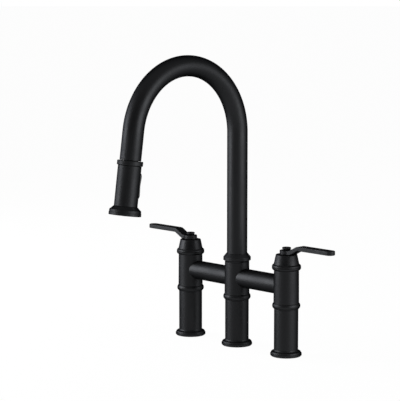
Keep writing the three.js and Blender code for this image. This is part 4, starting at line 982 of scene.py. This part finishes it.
def studio_world():
    """White to the camera, and a little light for the room. Mirrored, it shows a white backdrop
    behind the faucet that fades towards the camera, and a glow overhead."""
    world = bpy.data.worlds.new("studio")
    world.use_nodes = True
    bpy.context.scene.world = world
    n = Nodes(world.node_tree)
    direction = n.add("TexCoord").outputs["Generated"]
    height = n.add("SeparateXYZ")
    n.link(direction, height.inputs[0])
    overhead = n.spread(height.outputs["Z"], *OVERHEAD_STRENGTH, *OVERHEAD_RANGE)
    behind = n.add("VectorMath", operation="DOT_PRODUCT")
    n.link(direction, behind.inputs[0])
    behind.inputs[1].default_value = BACKDROP_SIDE
    backdrop = n.spread(behind.outputs["Value"], *BACKDROP_STRENGTH, *BACKDROP_RANGE)
    mirrored = n.combine("MAXIMUM", overhead, backdrop)
    shown = n.combine("MAXIMUM", mirrored, n.add("LightPath").outputs["Is Camera Ray"])
    mix = n.add("Mix", data_type="FLOAT", A=ROOM_LIGHT)
    n.link(seen_or_mirrored(n), mix.inputs["Factor"])
    n.link(shown, mix.inputs["B"])
    background = n.tree.nodes["Background"]
    background.inputs["Color"].default_value = (1, 1, 1, 1)
    n.link(mix.outputs["Result"], background.inputs["Strength"])


def studio_floor():
    """Pale floor that looks nearly white, and still takes the faucet's shadow."""
    material = bpy.data.materials.new("pale_floor")
    material.use_nodes = True
    n = Nodes(material.node_tree)
    shader = n.tree.nodes["Principled BSDF"]
    assign(shader, {"Base Color": (*FLOOR_COLOR, 1), "Roughness": FLOOR_ROUGHNESS})
    glow = n.add("Emission", Strength=1.0)
    blend = n.add("MixShader")
    n.link(n.combine("MULTIPLY", seen_or_mirrored(n), FLOOR_WHITE), blend.inputs[0])
    n.link(shader.outputs[0], blend.inputs[1])
    n.link(glow.outputs[0], blend.inputs[2])
    n.link(blend.outputs[0], n.tree.nodes["Material Output"].inputs["Surface"])
    mesh = bpy.data.meshes.new("floor")
    half = FLOOR_HALF
    corners = [(-half, -half, 0), (half, -half, 0), (half, half, 0), (-half, half, 0)]
    mesh.from_pydata(corners, [], [(0, 1, 2, 3)])
    mesh.materials.append(material)
    floor = add_object("floor", mesh)
    floor.location.z = -FLOOR_DROP


def softbox(name, location, size, power):
    lamp = bpy.data.lights.new(name, "AREA")
    lamp.shape, lamp.size, lamp.size_y, lamp.energy = "RECTANGLE", size[0], size[1], power
    obj = add_object(name, lamp)
    obj.location = location
    aim = Vector(LAMP_TARGET) - Vector(location)
    obj.rotation_euler = aim.to_track_quat("-Z", "Y").to_euler()


def photo_camera():
    """Camera fitted to the tubes and columns in the photo: its direction, distance and view."""
    azimuth, elevation = math.radians(CAMERA_AZIMUTH), math.radians(CAMERA_ELEVATION)
    back = Vector((math.sin(azimuth) * math.cos(elevation),
                   -math.cos(azimuth) * math.cos(elevation), math.sin(elevation)))
    camera = bpy.data.cameras.new("camera")
    camera.sensor_width, camera.sensor_fit = SENSOR, "AUTO"
    camera.lens = FOCAL_PIXELS * SENSOR / IMAGE_SIDE
    camera.clip_start, camera.clip_end = CAMERA_CLIP
    obj = add_object("camera", camera)
    obj.location = Vector(CAMERA_TARGET) + back * CAMERA_DISTANCE
    obj.rotation_euler = (-back).to_track_quat("-Z", "Y").to_euler()
    bpy.context.scene.camera = obj


# ---------------------------------------------------------------- the faucet

for side_name, side_sign in SIDES:
    valve_column(side_name, side_sign)
    bridge_tube(side_name, side_sign)
    lever_piece(side_name, side_sign)
centre_column()
spout_pieces()
spray_pieces()
hose_pieces()
slots = {part["node"]: part["material_slot"] for part in frame["record"]["subparts"]}
for node_name, node in frame["nodes"].items():
    node.data.materials.clear()
    node.data.materials.append(SLOT_MATERIALS[slots[node_name]])

studio_world()
studio_floor()
softbox("key", (-1.21, -0.77, 0.52), (1.85, 1.0), 58)
softbox("fill", (1.54, 0.36, 0.5), (1.1, 0.96), 20)
photo_camera()
bpy.context.scene.view_settings.view_transform = "Standard"
